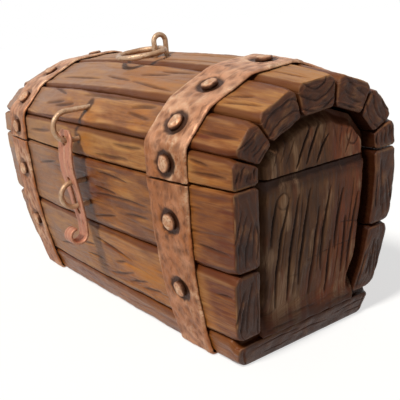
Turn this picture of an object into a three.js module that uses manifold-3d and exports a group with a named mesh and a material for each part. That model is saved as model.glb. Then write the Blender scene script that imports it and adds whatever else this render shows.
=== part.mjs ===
// A small domed treasure chest: bowed oak staves, recessed end panels, copper bands held by
// domed rivets, a hinged lid, a swinging copper hasp on wire staples and a wire lift ring.
// Millimetres, +Z up, long side along X, front at -Y. The origin is the centre of the underside.
import * as THREE from 'three';
import { mergeVertices } from 'three/addons/utils/BufferGeometryUtils.js';
import Module from 'manifold-3d';

const wasm = await Module();
wasm.setup();

// Carcass
const LENGTH = 200; // over the stave ends at the seam
const DEPTH = 84; // over the corner staves at the seam
const BASE_HEIGHT = 75; // underside to the middle of the seam
const END_LEAN = 14; // how far each end draws in from the seam to the bottom
const END_LEAN_POWER = 1.7;
const FACE_LEAN = 8; // how far front and back draw in
const FACE_LEAN_POWER = 2.8;
const SEAM_BOW = 5; // how far front and back swell at mid-length, at the seam
const BOTTOM_BOW = 1; // the same at the bottom
const BOW_POWER = 2.4;
const CROWN_BOW = 6; // how far the crown of the lid rises at mid-length
const STAVE = 12; // thickness of the staves
const GROOVE = 1.5; // depth of the worn corner on each stave edge, which makes the V-grooves
const GROOVE_REACH = 2.8; // how far that corner reaches across a stave's face
const SEAM_EDGE = 0.8; // worn corner beside the seam
const FIT = 0.3; // clearance between pieces that meet
const SEAM_GAP = 1; // between lid and base
const BOARD_HEIGHT = 12.5; // bottom board
const BOARD_SLOPE = 2.5; // how far its top falls at each end, outside the end panels
const STAVE_SPLIT = 43; // height of the joint between lower and upper staves
const END_RECESS = 4; // end panels set back from the stave ends
const END_PANEL = 9; // thickness of the end panels, without the field that stands out of them
const FIELD_RISE = 1.4; // how far that field stands out
const FIELD_IN = 5.8; // from a panel's edge to the field
const MOAT = 3.4; // depth of the sunk margin round the field, below the panel's own face
const MOAT_IN = 1.6; // from a panel's edge to the foot of the field's slope
const FLARE_RECESS = 1; // how far the foot of a base panel is set back
const FLARE_HEIGHT = 7; // height of its slope over the bottom board
const PANEL_FIT = 0.6; // clearance of the end panels beside the curved staves

// Corners of the lid's arch at its ends: in from the corner staves, and up from the seam
const SHOULDER_IN = 0.8;
const SHOULDER_FRONT_RISE = 12.2;
const SHOULDER_BACK_RISE = 12;
const HAUNCH_IN = 12.2;
const HAUNCH_FRONT_RISE = 23.6;
const HAUNCH_BACK_RISE = 26;
const CROWN_HALF = 10.6; // half width of the top stave
const CROWN_FRONT_RISE = 31.8;
const CROWN_BACK_RISE = 33.2;

// Main carved lines: a shallow V along each. On a stave they run from and to a share of its half
// length, at shares of the way up or over it. On an end panel they run between two heights, as
// shares of BASE_HEIGHT or CROWN_BACK_RISE, at shares of half the depth. A fifth number is how
// far the line bends aside, as a share of the same width.
const LINE = 1.3; // width on the staves
const LINE_DEPTH = 0.8;
const PANEL_LINE = 1.8;
const PANEL_LINE_DEPTH = 1.4;
const LID_LINES = [
  [[-0.58, -0.32, 0.4, 0.56], [0.13, 0.4, 0.18, 0.22], [0.28, 0.49, 0.64, 0.7, -0.05],
    [0.78, 0.97, 0.32, 0.36], [0.78, 0.88, 0.71, 0.59]],
  [[-0.45, -0.27, 0.42, 0.58], [-0.34, -0.16, 0.4, 0.53], [-0.44, -0.29, 0.92, 0.77],
    [-0.12, 0.29, 0.8, 0.86], [0.31, 0.48, 0.67, 0.8], [0.31, 0.48, 0.53, 0.45], [0.77, 0.98, 0.43, 0.45]],
  [[-0.5, -0.12, 0.3, 0.34], [-0.1, 0.12, 0.46, 0.37], [0.14, 0.35, 0.59, 0.67], [0.26, 0.48, 0.74, 0.8],
    [0.14, 0.48, 0.36, 0.22], [0.78, 0.97, 0.18, 0.32], [0.78, 0.89, 0.37, 0.5]],
  [[-0.55, -0.1, 0.3, 0.28], [-0.5, -0.08, 0.66, 0.7], [0.08, 0.5, 0.25, 0.3], [0.1, 0.45, 0.7, 0.74],
    [0.79, 0.97, 0.4, 0.45]],
  [[-0.5, 0.1, 0.35, 0.3], [0.05, 0.5, 0.68, 0.64], [0.8, 0.97, 0.5, 0.46]],
  [[-0.45, 0.2, 0.6, 0.66], [0.1, 0.48, 0.3, 0.33], [0.8, 0.96, 0.4, 0.42]],
  [[-0.58, -0.42, 0.4, 0.44], [-0.18, 0.16, 0.5, 0.56], [0.8, 0.96, 0.5, 0.5]],
];
const WALL_LINES = {
  front_upper: [[-0.51, -0.3, 0.69, 0.81], [0.02, 0.49, 0.49, 0.56, 0.03], [0.12, 0.37, 0.86, 0.83],
    [0.07, 0.26, 0.63, 0.6], [0.31, 0.48, 0.35, 0.4], [0.02, 0.22, 0.14, 0.27], [0.79, 0.97, 0.28, 0.26]],
  front_lower: [[-0.55, -0.28, 0.28, 0.42], [-0.22, -0.08, 0.54, 0.59], [-0.2, -0.03, 0.36, 0.4],
    [-0.03, 0.28, 0.77, 0.62], [0.01, 0.27, 0.2, 0.41, -0.03], [0.11, 0.21, 0.46, 0.54],
    [0.19, 0.38, 0.19, 0.36], [0.31, 0.48, 0.18, 0.29], [0.88, 0.98, 0.67, 0.71]],
  back_upper: [[-0.5, 0.15, 0.45, 0.4], [-0.2, 0.2, 0.75, 0.7], [0.2, 0.5, 0.55, 0.5],
    [0.8, 0.97, 0.4, 0.42]],
  back_lower: [[-0.55, -0.1, 0.5, 0.56], [-0.3, 0.25, 0.75, 0.72], [0, 0.48, 0.4, 0.34],
    [0.8, 0.97, 0.55, 0.5]],
};
const BASE_PANEL_LINES = [[0.65, 0.9, -0.54, -0.47, -0.01], [0.28, 0.89, -0.43, -0.33, -0.065],
  [0.29, 0.89, -0.29, -0.22, -0.04], [0.37, 0.9, -0.16, -0.08, -0.035], [0.28, 0.79, 0, 0.03, -0.015],
  [0.4, 0.88, 0.13, 0.17, -0.05], [0.25, 0.57, 0.22, 0.21], [0.5, 0.85, 0.29, 0.34, -0.03],
  [0.34, 0.69, 0.41, 0.39], [0.33, 0.8, 0.5, 0.54, -0.03]];
const LID_PANEL_LINES = [[0.04, 0.51, -0.25, -0.05, 0.01], [0.05, 0.51, -0.12, 0.06, -0.01],
  [0.04, 0.34, 0, 0.16, -0.01]];

// Copper bands: distance from the stave ends, and width, at the seam and at the foot
const BAND = 1.2; // thickness
const RIGHT_BAND_IN = 22;
const RIGHT_BAND_WIDTH = 25;
const RIGHT_FOOT_IN = 15;
const RIGHT_FOOT_WIDTH = 21;
const LEFT_BAND_IN = 14;
const LEFT_BAND_WIDTH = 24;
const LEFT_FOOT_IN = 3;
const LEFT_FOOT_WIDTH = 17;

// Rivets
const RIVET_HEAD = 3.6; // radius of the domed heads
const RIVET_DOME = 1.9; // height of the domed heads
const RIVET_SHANK = 1.3; // radius
const RIVET_GRIP = 8; // length under the head
const RIM_SHARE = 0.3; // of a dome's height that is its straight rim
const UPPER_RIVET_SHARE = 0.49; // place up the upper base stave
const LOWER_RIVET_SHARE = 0.556; // place up the lower base stave
const ARCH_RIVET_SHARES = [0.45, 0.5, 0.5, 0.72, 0.5, 0.5, 0.55]; // place along each lid stave

// Hinges
const HINGE_IN = 70; // from the stave ends to the middle of a hinge
const HINGE_WIDTH = 14;
const HINGE_LEAF = 1.2; // thickness
const HINGE_REACH = 11; // height of a leaf from the axis
const HINGE_TIP = 5.6; // height of a leaf's rounded tip
const KNUCKLE = 2.2; // outer radius
const PIN = 1; // radius
const NAIL_HEAD = 1.7; // radius
const NAIL_DOME = 0.9;
const NAIL_SHANK = 0.7; // radius
const NAIL_GRIP = 6;
const NAIL_IN = 3.6; // from the tip of a leaf

// Hasp, its curled staple on the lid and the catch staple on the base. OUT is measured from
// the swollen front, RISE and DROP from the seam.
const WIRE = 1.2; // radius of the staples' wire
const WIRE_COVER = 3; // wood left behind the staples' legs
const HASP_SIDE = 1.5; // left of the middle
const CURL = 6.4; // radius of the upper staple
const CURL_OUT = 4;
const CURL_RISE = 14.6;
const CATCH = 5.5; // radius of the catch staple
const CATCH_OUT = 6;
const CATCH_DROP = 16;
const HASP = 1.4; // thickness of the strap
const HASP_WIDTH = 12;
const HASP_HEEL_WIDTH = 8; // above the scroll
const HASP_TIP_WIDTH = 6; // at both ends
const HEAD_OUT = 5.2;
const HEAD_REACH = 4.6; // above the eye
const EYE = 2.2; // radius
const EYE_OUT = 5.9;
const BELLY_OUT = 7;
const BELLY_DROP = 2.8;
const WAIST_OUT = 5;
const HEEL_OUT = 3.2;
const HEEL_DROP = 29;
const SCROLL = 4.1; // radius where the scroll starts
const SCROLL_TIP = 2.4; // radius where it ends
const SCROLL_TURN = 260; // degrees
const SCROLL_DROP = 34; // its middle
const SLOT_ABOVE = 1.8; // clearance over the catch staple
const SLOT_BELOW = 2.8; // clearance under it
const SLOT_SIDE = 0.6; // clearance beside its wire

// Lift ring and its staple on the crown
const RING = 10.5; // radius to the wire's centre
const RING_WIRE = 1.3; // radius of its wire
const RING_LIFT = 3.2; // from the crown to its wire in the staple
const RING_DROOP = 5.5; // degrees the ring hangs to the front
const LOOP = 3.1; // half width of its staple
const LOOP_RISE = 9.4; // from the crown to the staple's top
const LOOP_COVER = 5; // wood left under its legs

const STATIONS = 12; // sections along a stave
const COURSES = 8; // sections up the base
const WIRE_SIDES = 8;
const WIRE_STEPS = 28; // sections along a bent wire
const ROUND_SIDES = 16;
const HEAD_SIDES = 12; // round the domed heads
const OVERCUT = 3; // how far cutters stand out of what they cut
const SCRATCH_OVERCUT = 0.5; // the same for carved lines

const woodLight = { color: 0x9a6236, roughness: 0.5, metalness: 0 };
const woodDark = { color: 0x4a2f20, roughness: 0.55, metalness: 0 };
const copper = { color: 0xa5735a, roughness: 0.5, metalness: 0.7 };
const brass = { color: 0x8c6a42, roughness: 0.4, metalness: 0.85 };

const v3 = (x, y, z) => new THREE.Vector3(x, y, z);
const lerp = THREE.MathUtils.lerp;
const radians = THREE.MathUtils.degToRad;
const parts = (n) => Array.from({ length: n + 1 }, (_, i) => i / n);
const alongX = v3(1, 0, 0);
const alongY = v3(0, 1, 0);
const down = v3(0, 0, -1);
const sides = { left: -1, right: 1 };
const walls = { front: -1, back: 1 };

const chest = new THREE.Group();
const base = new THREE.Group();
const lid = new THREE.Group();
const hasp = new THREE.Group();
const ring = new THREE.Group();
lid.position.z = BASE_HEIGHT;
lid.add(hasp, ring);
chest.add(base, lid);

// How much of the bow shows at a point along the chest: 1 in the middle, 0 at the ends.
const bowAt = (u) => 1 - Math.min(1, Math.abs(u)) ** BOW_POWER;

// Base outline at a height: half length, and half depth at a fraction u of that length.
const dropAt = (z) => 1 - z / BASE_HEIGHT;
const halfLengthAt = (z) => LENGTH / 2 - END_LEAN * dropAt(z) ** END_LEAN_POWER;
function faceAt(u, z) {
  const t = dropAt(z);
  return DEPTH / 2 - FACE_LEAN * t ** FACE_LEAN_POWER + lerp(SEAM_BOW, BOTTOM_BOW, t) * bowAt(u);
}
const faceOver = (x, z) => faceAt(x / halfLengthAt(z), z);

// Lid: corners of the arch at its ends, from the front seam to the back seam
const halfDepth = DEPTH / 2;
const arch = [
  [-halfDepth, 0],
  [SHOULDER_IN - halfDepth, SHOULDER_FRONT_RISE],
  [HAUNCH_IN - halfDepth, HAUNCH_FRONT_RISE],
  [-CROWN_HALF, CROWN_FRONT_RISE],
  [CROWN_HALF, CROWN_BACK_RISE],
  [halfDepth - HAUNCH_IN, HAUNCH_BACK_RISE],
  [halfDepth - SHOULDER_IN, SHOULDER_BACK_RISE],
  [halfDepth, 0],
];
const archSides = arch.length - 1;

// A point of the lid's cross-section carried to a fraction u of its length.
function lidPoint([y, z], u) {
  const b = bowAt(u);
  return [y * (1 + (SEAM_BOW / halfDepth) * b), z * (1 + (CROWN_BOW / CROWN_BACK_RISE) * b)];
}
const lidCorners = (x) => arch.map((p) => lidPoint(p, x / (LENGTH / 2)));
const crown = (lidCorners(0)[3][1] + lidCorners(0)[4][1]) / 2;

// The lid's front at a height above the seam, at mid-length
function lidFrontAt(z) {
  const corners = lidCorners(0);
  const i = corners.findIndex((corner) => corner[1] > z);
  const [[y0, z0], [y1, z1]] = [corners[i - 1], corners[i]];
  return lerp(y0, y1, (z - z0) / (z1 - z0));
}

// A closed body through rings of points; both ends are closed from their centres.
function loft(rings) {
  const n = rings[0].length;
  const points = rings.flat();
  const index = [];
  for (let i = 0; i + 1 < rings.length; i++) {
    for (let j = 0; j < n; j++) {
      const a = i * n + j;
      const b = i * n + ((j + 1) % n);
      index.push(a, b, b + n, a, b + n, a + n);
    }
  }
  const centre = (r) => r.reduce((s, p) => s.add(p), v3(0, 0, 0)).divideScalar(n);
  const first = points.push(centre(rings[0])) - 1;
  const last = points.push(centre(rings.at(-1))) - 1;
  const start = (rings.length - 1) * n;
  for (let j = 0; j < n; j++) {
    const k = (j + 1) % n;
    index.push(first, k, j, last, start + j, start + k);
  }
  const volume = index.reduce((sum, _, i) => {
    if (i % 3) return sum;
    const [a, b, c] = [0, 1, 2].map((k) => points[index[i + k]]);
    return sum + a.dot(b.clone().cross(c));
  }, 0);
  if (volume < 0) index.reverse();
  const geometry = new THREE.BufferGeometry().setFromPoints(points);
  geometry.setIndex(index);
  return solid(geometry);
}

function solid(geometry) {
  const bare = geometry.clone();
  bare.deleteAttribute('normal');
  bare.deleteAttribute('uv');
  const merged = mergeVertices(bare, 1e-4);
  return new wasm.Manifold(
    new wasm.Mesh({
      numProp: 3,
      vertProperties: new Float32Array(merged.attributes.position.array),
      triVerts: new Uint32Array(merged.index.array),
    }),
  );
}

function addPiece(group, name, body, look) {
  const mesh = body.getMesh();
  const geometry = new THREE.BufferGeometry();
  geometry.setAttribute('position', new THREE.BufferAttribute(mesh.vertProperties, 3));
  geometry.setIndex(new THREE.BufferAttribute(mesh.triVerts, 1));
  geometry.computeVertexNormals();
  const piece = new THREE.Mesh(geometry, new THREE.MeshStandardMaterial(look));
  piece.name = name;
  group.add(piece);
}

// A round bar from a point along a direction
function bar(from, along, length, radius, facets = ROUND_SIDES) {
  const g = new THREE.CylinderGeometry(radius, radius, length, facets);
  g.translate(0, length / 2, 0);
  g.applyQuaternion(new THREE.Quaternion().setFromUnitVectors(alongY, along));
  g.translate(...from);
  return solid(g);
}

function box(lo, hi) {
  const size = hi.map((h, i) => h - lo[i]);
  const g = new THREE.BoxGeometry(...size);
  g.translate(...lo.map((l, i) => l + size[i] / 2));
  return solid(g);
}

// A carved line as a cutter. wide is a share of the width it lies on. place turns shares along
// and across, and a depth, into a point.
function carving([from, to, start, finish, bend = 0], wide, deep, place) {
  return loft(
    [[0, 0.2], [0.25, 1], [0.5, 1], [0.75, 1], [1, 0.2]].map(([f, size]) => {
      const along = lerp(from, to, f);
      const across = lerp(start, finish, f) + bend * 4 * f * (1 - f);
      const reach = (wide / 2) * (size + SCRATCH_OVERCUT / deep);
      return [[-reach, -SCRATCH_OVERCUT], [reach, -SCRATCH_OVERCUT], [0, deep * size]].map(
        ([side, depth]) => place(along, across + side, depth),
      );
    }),
  );
}

const cutAll = (body, cutters) => cutters.reduce((s, c) => s.subtract(c), body);

// A bent wire through points, as an extruded circle
function wire(points) {
  const shape = new THREE.Shape().absarc(0, 0, WIRE, 0, Math.PI * 2);
  const extrudePath = new THREE.CatmullRomCurve3(points, false, 'centripetal');
  const options = { steps: WIRE_STEPS, extrudePath, curveSegments: WIRE_SIDES / 2 };
  return solid(new THREE.ExtrudeGeometry(shape, options));
}

// A domed head on a shank, with its seat at a point and the head along a direction
function fastener(head, dome, shank, grip, seat, normal) {
  const points = [[0, -grip], [shank, -grip], [shank, 0], [head, 0], [head, dome * RIM_SHARE]];
  for (const turn of [Math.PI / 3, Math.PI / 6, 0]) {
    points.push([head * Math.sin(turn), dome * lerp(RIM_SHARE, 1, Math.cos(turn))]);
  }
  const profile = points.map((p) => new THREE.Vector2(...p));
  const g = new THREE.LatheGeometry(profile, HEAD_SIDES);
  g.applyQuaternion(new THREE.Quaternion().setFromUnitVectors(alongY, normal));
  g.translate(...seat);
  return solid(g);
}

// The hole that a fastener's shank sits in
function shankHole(shank, grip, seat, normal) {
  const outside = seat.clone().addScaledVector(normal, OVERCUT);
  const inward = normal.clone().negate();
  return bar(outside, inward, OVERCUT + grip + FIT, shank + FIT, WIRE_SIDES);
}

// The arch's corners moved inwards by a distance; its two feet move level.
function inset(corners, distance) {
  const normals = corners.slice(1).map(([y, z], i) => {
    const d = new THREE.Vector2(y - corners[i][0], z - corners[i][1]).normalize();
    return new THREE.Vector2(d.y, -d.x);
  });
  return corners.map(([y, z], i) => {
    if (i === 0 || i === archSides) return [y - Math.sign(y) * distance, z];
    const m = normals[i - 1].clone().add(normals[i]).normalize();
    const k = distance / m.dot(normals[i]);
    return [y + m.x * k, z + m.y * k];
  });
}
const archOver = (x, rise) => inset(lidCorners(x), -rise);

// Bands: their two edges at the seam and at the foot
const halfFoot = halfLengthAt(0);
const bands = {
  left: {
    seam: [LEFT_BAND_IN - LENGTH / 2, LEFT_BAND_IN + LEFT_BAND_WIDTH - LENGTH / 2],
    foot: [LEFT_FOOT_IN - halfFoot, LEFT_FOOT_IN + LEFT_FOOT_WIDTH - halfFoot],
  },
  right: {
    seam: [LENGTH / 2 - RIGHT_BAND_IN - RIGHT_BAND_WIDTH, LENGTH / 2 - RIGHT_BAND_IN],
    foot: [halfFoot - RIGHT_FOOT_IN - RIGHT_FOOT_WIDTH, halfFoot - RIGHT_FOOT_IN],
  },
};
const bandEdges = (band, z) => band.seam.map((x, i) => lerp(x, band.foot[i], dropAt(z)));
const middle = ([a, b]) => (a + b) / 2;

// A band's section: points across its inner side, then back across its outer side
function bandRing([a, b], inner, outer) {
  const columns = [a, middle([a, b]), b];
  return [...columns.map(inner), ...columns.toReversed().map(outer)];
}

function lidBand(band) {
  return loft(
    arch.map((_, i) => {
      const foot = i === 0 || i === archSides;
      const over = (rise) => (x) => {
        const [y, z] = archOver(x, rise)[i];
        return v3(x, y, foot ? SEAM_GAP / 2 : z);
      };
      return bandRing(band.seam, over(FIT), over(FIT + BAND));
    }),
  );
}

// Down the front, under the bottom board and up the back
function baseBand(band) {
  const ringAt = (sign, zInner, zOuter) => {
    const over = (rise, z) => (x) => v3(x, sign * (faceOver(x, z) + rise), z);
    return bandRing(bandEdges(band, zOuter), over(FIT, zInner), over(FIT + BAND, zOuter));
  };
  const heights = parts(COURSES).map((f) =>
    lerp(BASE_HEIGHT - SEAM_GAP / 2, BOARD_HEIGHT / 2, f),
  );
  return loft([
    ...heights.map((z) => ringAt(-1, z, z)),
    ringAt(-1, BAND, 0),
    ringAt(1, BAND, 0),
    ...heights.toReversed().map((z) => ringAt(1, z, z)),
  ]);
}

// The two courses of staves in each wall of the base
const grooveEdge = [GROOVE_REACH, GROOVE];
const seamEdge = [SEAM_EDGE, SEAM_EDGE];
const upper = {
  low: STAVE_SPLIT + FIT / 2,
  high: BASE_HEIGHT - SEAM_GAP / 2,
  topEdge: seamEdge,
};
const lower = { low: BOARD_HEIGHT + FIT, high: STAVE_SPLIT - FIT / 2, topEdge: grooveEdge };

// Rivets: the seat of each head on its band, and the stave under it
const bandTop = FIT + BAND + FIT;
const lidRivets = [];
const baseRivets = [];
for (const [side, band] of Object.entries(bands)) {
  const x = middle(band.seam);
  const corners = archOver(x, bandTop);
  ARCH_RIVET_SHARES.forEach((share, i) => {
    const [[y0, z0], [y1, z1]] = [corners[i], corners[i + 1]];
    lidRivets.push({
      name: `lid_rivet_${side}_${i + 1}`,
      band: side,
      stave: i,
      seat: v3(x, lerp(y0, y1, share), lerp(z0, z1, share)),
      normal: v3(0, z0 - z1, y1 - y0).normalize(),
    });
  });
  for (const [wall, sign] of Object.entries(walls)) {
    const heights = [
      lerp(upper.low, upper.high, UPPER_RIVET_SHARE),
      lerp(lower.low, lower.high, LOWER_RIVET_SHARE),
    ];
    heights.forEach((z, i) => {
      const across = middle(bandEdges(band, z));
      const slope = faceOver(across, z + 1) - faceOver(across, z - 1);
      baseRivets.push({
        name: `base_rivet_${side}_${wall}_${i + 1}`,
        band: side,
        stave: `${wall}_${i + 1}`,
        seat: v3(across, sign * (faceOver(across, z) + bandTop), z),
        normal: v3(0, sign * 2, -slope).normalize(),
      });
    });
  }
}
const rivetHoles = (rivets, key, value) =>
  rivets
    .filter((rivet) => rivet[key] === value)
    .map(({ seat, normal }) => shankHole(RIVET_SHANK, RIVET_GRIP, seat, normal));

// Hinge leaves stand just off the swollen back.
const hingeX = LENGTH / 2 - HINGE_IN;
const leafY = faceOver(hingeX - HINGE_WIDTH / 2, BASE_HEIGHT) + FIT;
const hingeY = leafY + KNUCKLE;
const nailRise = HINGE_REACH - NAIL_IN;
const nailSeat = (x, z) => v3(x, leafY + HINGE_LEAF + FIT, z);
const nailHole = (x, z) => shankHole(NAIL_SHANK, NAIL_GRIP, nailSeat(x, z), alongY);
const nailHoles = (z) => Object.values(sides).map((sign) => nailHole(sign * hingeX, z));

// Legs of the curled staple and the catch staple: height, and how far in they end
const front = -faceAt(0, BASE_HEIGHT);
const haspX = -HASP_SIDE;
const root = STAVE - WIRE_COVER;
const catchZ = BASE_HEIGHT - CATCH_DROP;
const curlLegs = [CURL_RISE + CURL, CURL_RISE - CURL].map((z) => [z, lidFrontAt(z) + root]);
const catchLegs = [catchZ + CATCH, catchZ - CATCH].map((z) => [z, root - faceAt(0, z)]);
const legHole = ([z, end]) =>
  bar(v3(haspX, front - CURL, z), alongY, end + FIT - front + CURL, WIRE + FIT, WIRE_SIDES);

// Base staves
const stations = parts(STATIONS).map((f) => lerp(-1, 1, f));

function baseStave(sign, { low, high, topEdge }) {
  const [reach, depthAtTop] = topEdge;
  const heights = parts(3).map((f) => lerp(low + GROOVE_REACH, high - reach, f));
  return loft(
    stations.map((u) => {
      const at = (z, depth) => v3(u * halfLengthAt(z), sign * (faceAt(u, z) - depth), z);
      return [
        at(low, GROOVE),
        ...heights.map((z) => at(z, 0)),
        at(high, depthAtTop),
        at(high, STAVE),
        at(low, STAVE),
      ];
    }),
  );
}

function wallCarvings(sign, { low, high }, lines) {
  const place = (u, f, depth) => {
    const z = lerp(low, high, f);
    return v3(u * halfLengthAt(z), sign * (faceAt(u, z) - depth), z);
  };
  return lines.map((line) => carving(line, LINE / (high - low), LINE_DEPTH, place));
}

const wallHoles = {
  front: catchLegs.map(legHole),
  back: nailHoles(BASE_HEIGHT - nailRise),
};
for (const [wall, sign] of Object.entries(walls)) {
  const upperCuts = [
    ...wallHoles[wall],
    ...rivetHoles(baseRivets, 'stave', `${wall}_1`),
    ...wallCarvings(sign, upper, WALL_LINES[`${wall}_upper`]),
  ];
  const lowerCuts = [
    ...rivetHoles(baseRivets, 'stave', `${wall}_2`),
    ...wallCarvings(sign, lower, WALL_LINES[`${wall}_lower`]),
  ];
  addPiece(base, `${wall}_stave_upper`, cutAll(baseStave(sign, upper), upperCuts), woodLight);
  addPiece(base, `${wall}_stave_lower`, cutAll(baseStave(sign, lower), lowerCuts), woodLight);
}

// Bottom board, let in for the two bands that pass under it
function bottomBoard() {
  const shoulder = 1 - (2 * END_RECESS) / LENGTH;
  const inner = stations.slice(1, -1).map((u) => u * shoulder);
  const board = loft(
    [-1, -shoulder, ...inner, shoulder, 1].map((u) => {
      const top = Math.abs(u) < 1 ? BOARD_HEIGHT : BOARD_HEIGHT - BOARD_SLOPE;
      const edge = [[0, GROOVE], [GROOVE, 0], [top - GROOVE, 0], [top, GROOVE]];
      const at = (sign) => ([z, depth]) =>
        v3(u * halfLengthAt(z), sign * (faceAt(u, z) - depth), z);
      return [...edge.map(at(-1)), ...edge.toReversed().map(at(1))];
    }),
  );
  const rebates = Object.values(bands).map(({ foot: [a, b] }) =>
    box([a - FIT, -DEPTH, -OVERCUT], [b + FIT, DEPTH, BAND + FIT]),
  );
  return cutAll(board, rebates);
}
const board = bottomBoard();
addPiece(base, 'bottom_board', board, woodLight);

const panelCarvings = (lines, place) =>
  lines.map((line) => carving(line, PANEL_LINE / halfDepth, PANEL_LINE_DEPTH, place));

// End panels of the base, between the front and back staves: a raised field in a sunk margin,
// over a foot that flares out along the top of the bottom board
function endPanel(sign) {
  const valley = lower.low + FLARE_HEIGHT;
  const fieldHeights = parts(COURSES / 2).map((f) =>
    lerp(valley + MOAT, upper.high - FIELD_IN, f),
  );
  const rows = [
    [lower.low - BOARD_SLOPE, FLARE_RECESS - END_RECESS],
    [valley, MOAT],
    ...fieldHeights.map((z) => [z, MOAT, -FIELD_RISE]),
    [upper.high - MOAT_IN, MOAT],
    [upper.high, MOAT],
  ];
  const panel = loft(
    rows.map(([z, margin, field = margin]) => {
      const columns = [[0, END_PANEL], [0, margin], [MOAT_IN, margin], [FIELD_IN, field]];
      const at = (way) => ([within, depth]) => {
        const x = halfLengthAt(z) - END_RECESS - depth;
        return v3(sign * x, way * (faceAt(1, z) - STAVE - PANEL_FIT - within), z);
      };
      return [...columns.map(at(-1)), ...columns.toReversed().map(at(1))];
    }),
  );
  const place = (along, across, depth) => {
    const z = along * BASE_HEIGHT;
    return v3(sign * (halfLengthAt(z) - END_RECESS + FIELD_RISE - depth), across * halfDepth, z);
  };
  const lines = panelCarvings(BASE_PANEL_LINES, place);
  return cutAll(panel, [board.translate(0, 0, FIT), ...lines]);
}
for (const [side, sign] of Object.entries(sides)) {
  addPiece(base, `end_panel_${side}`, endPanel(sign), woodDark);
}

// Lid staves: one side of the arch each, with worn outer edges
const archInside = inset(arch, STAVE);
const slide = (p, q, f) => [lerp(p[0], q[0], f), lerp(p[1], q[1], f)];
const raise = ([y, z], by) => [y, z + by];

function lidStave(i) {
  const [a, b] = [arch[i], arch[i + 1]];
  const width = Math.hypot(b[0] - a[0], b[1] - a[1]);
  const gap = FIT / 2 / width;
  const [outerA, outerB] = [slide(a, b, gap), slide(b, a, gap)];
  const [c, d] = [archInside[i], archInside[i + 1]];
  const [innerA, innerB] = [slide(c, d, gap), slide(d, c, gap)];
  const liftA = i === 0 ? SEAM_GAP / 2 : 0;
  const liftB = i === archSides - 1 ? SEAM_GAP / 2 : 0;
  const [reachA, depthA] = i === 0 ? seamEdge : grooveEdge;
  const [reachB, depthB] = i === archSides - 1 ? seamEdge : grooveEdge;
  const section = [
    raise(slide(outerA, innerA, depthA / STAVE), liftA),
    slide(outerA, outerB, (reachA + liftA) / width),
    slide(outerB, outerA, (reachB + liftB) / width),
    raise(slide(outerB, innerB, depthB / STAVE), liftB),
    raise(innerB, liftB),
    raise(innerA, liftA),
  ];
  return loft(stations.map((u) => section.map((p) => v3((u * LENGTH) / 2, ...lidPoint(p, u)))));
}

function lidCarvings(i) {
  const [a, b] = [arch[i], arch[i + 1]];
  const [c, d] = [archInside[i], archInside[i + 1]];
  const place = (u, f, depth) =>
    v3((u * LENGTH) / 2, ...lidPoint(slide(slide(a, b, f), slide(c, d, f), depth / STAVE), u));
  const width = Math.hypot(b[0] - a[0], b[1] - a[1]);
  return LID_LINES[i].map((line) => carving(line, LINE / width, LINE_DEPTH, place));
}

const loopTop = crown + LOOP_RISE;
const loopFoot = crown - STAVE + LOOP_COVER;
const loopHole = (y) =>
  bar(v3(0, y, loopTop), down, loopTop - loopFoot + FIT, WIRE + FIT, WIRE_SIDES);
const lidHoles = [
  [legHole(curlLegs[1])],
  [legHole(curlLegs[0])],
  [],
  [loopHole(-LOOP), loopHole(LOOP)],
  [],
  [],
  nailHoles(nailRise),
];
lidHoles.forEach((holes, i) => {
  const cutters = [...holes, ...rivetHoles(lidRivets, 'stave', i), ...lidCarvings(i)];
  addPiece(lid, `lid_stave_${i + 1}`, cutAll(lidStave(i), cutters), woodLight);
});

// Arched end panels of the lid, whose field runs down to the seam
function lidEndPanel(sign) {
  const outline = (within, depth) => {
    const x = LENGTH / 2 - END_RECESS - depth;
    return inset(arch, STAVE + PANEL_FIT + within).map((p, i) => {
      const [y, z] = lidPoint(p, x / (LENGTH / 2));
      const foot = i === 0 || i === archSides;
      return v3(sign * x, y, foot ? SEAM_GAP / 2 : z);
    });
  };
  const panel = loft([
    outline(0, END_PANEL),
    outline(0, MOAT),
    outline(MOAT_IN, MOAT),
    outline(FIELD_IN, -FIELD_RISE),
  ]);
  const face = LENGTH / 2 - END_RECESS + FIELD_RISE;
  const place = (along, across, depth) =>
    v3(sign * (face - depth), across * halfDepth, along * CROWN_BACK_RISE);
  return cutAll(panel, panelCarvings(LID_PANEL_LINES, place));
}
for (const [side, sign] of Object.entries(sides)) {
  addPiece(lid, `lid_end_panel_${side}`, lidEndPanel(sign), woodDark);
}

// Bands and rivets
for (const [side, band] of Object.entries(bands)) {
  const lidStrip = cutAll(lidBand(band), rivetHoles(lidRivets, 'band', side));
  const baseStrip = cutAll(baseBand(band), rivetHoles(baseRivets, 'band', side));
  addPiece(lid, `lid_band_${side}`, lidStrip, copper);
  addPiece(base, `base_band_${side}`, baseStrip, copper);
}
for (const [group, rivets] of [[lid, lidRivets], [base, baseRivets]]) {
  for (const { name, seat, normal } of rivets) {
    const rivet = fastener(RIVET_HEAD, RIVET_DOME, RIVET_SHANK, RIVET_GRIP, seat, normal);
    addPiece(group, name, rivet, copper);
  }
}

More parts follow.
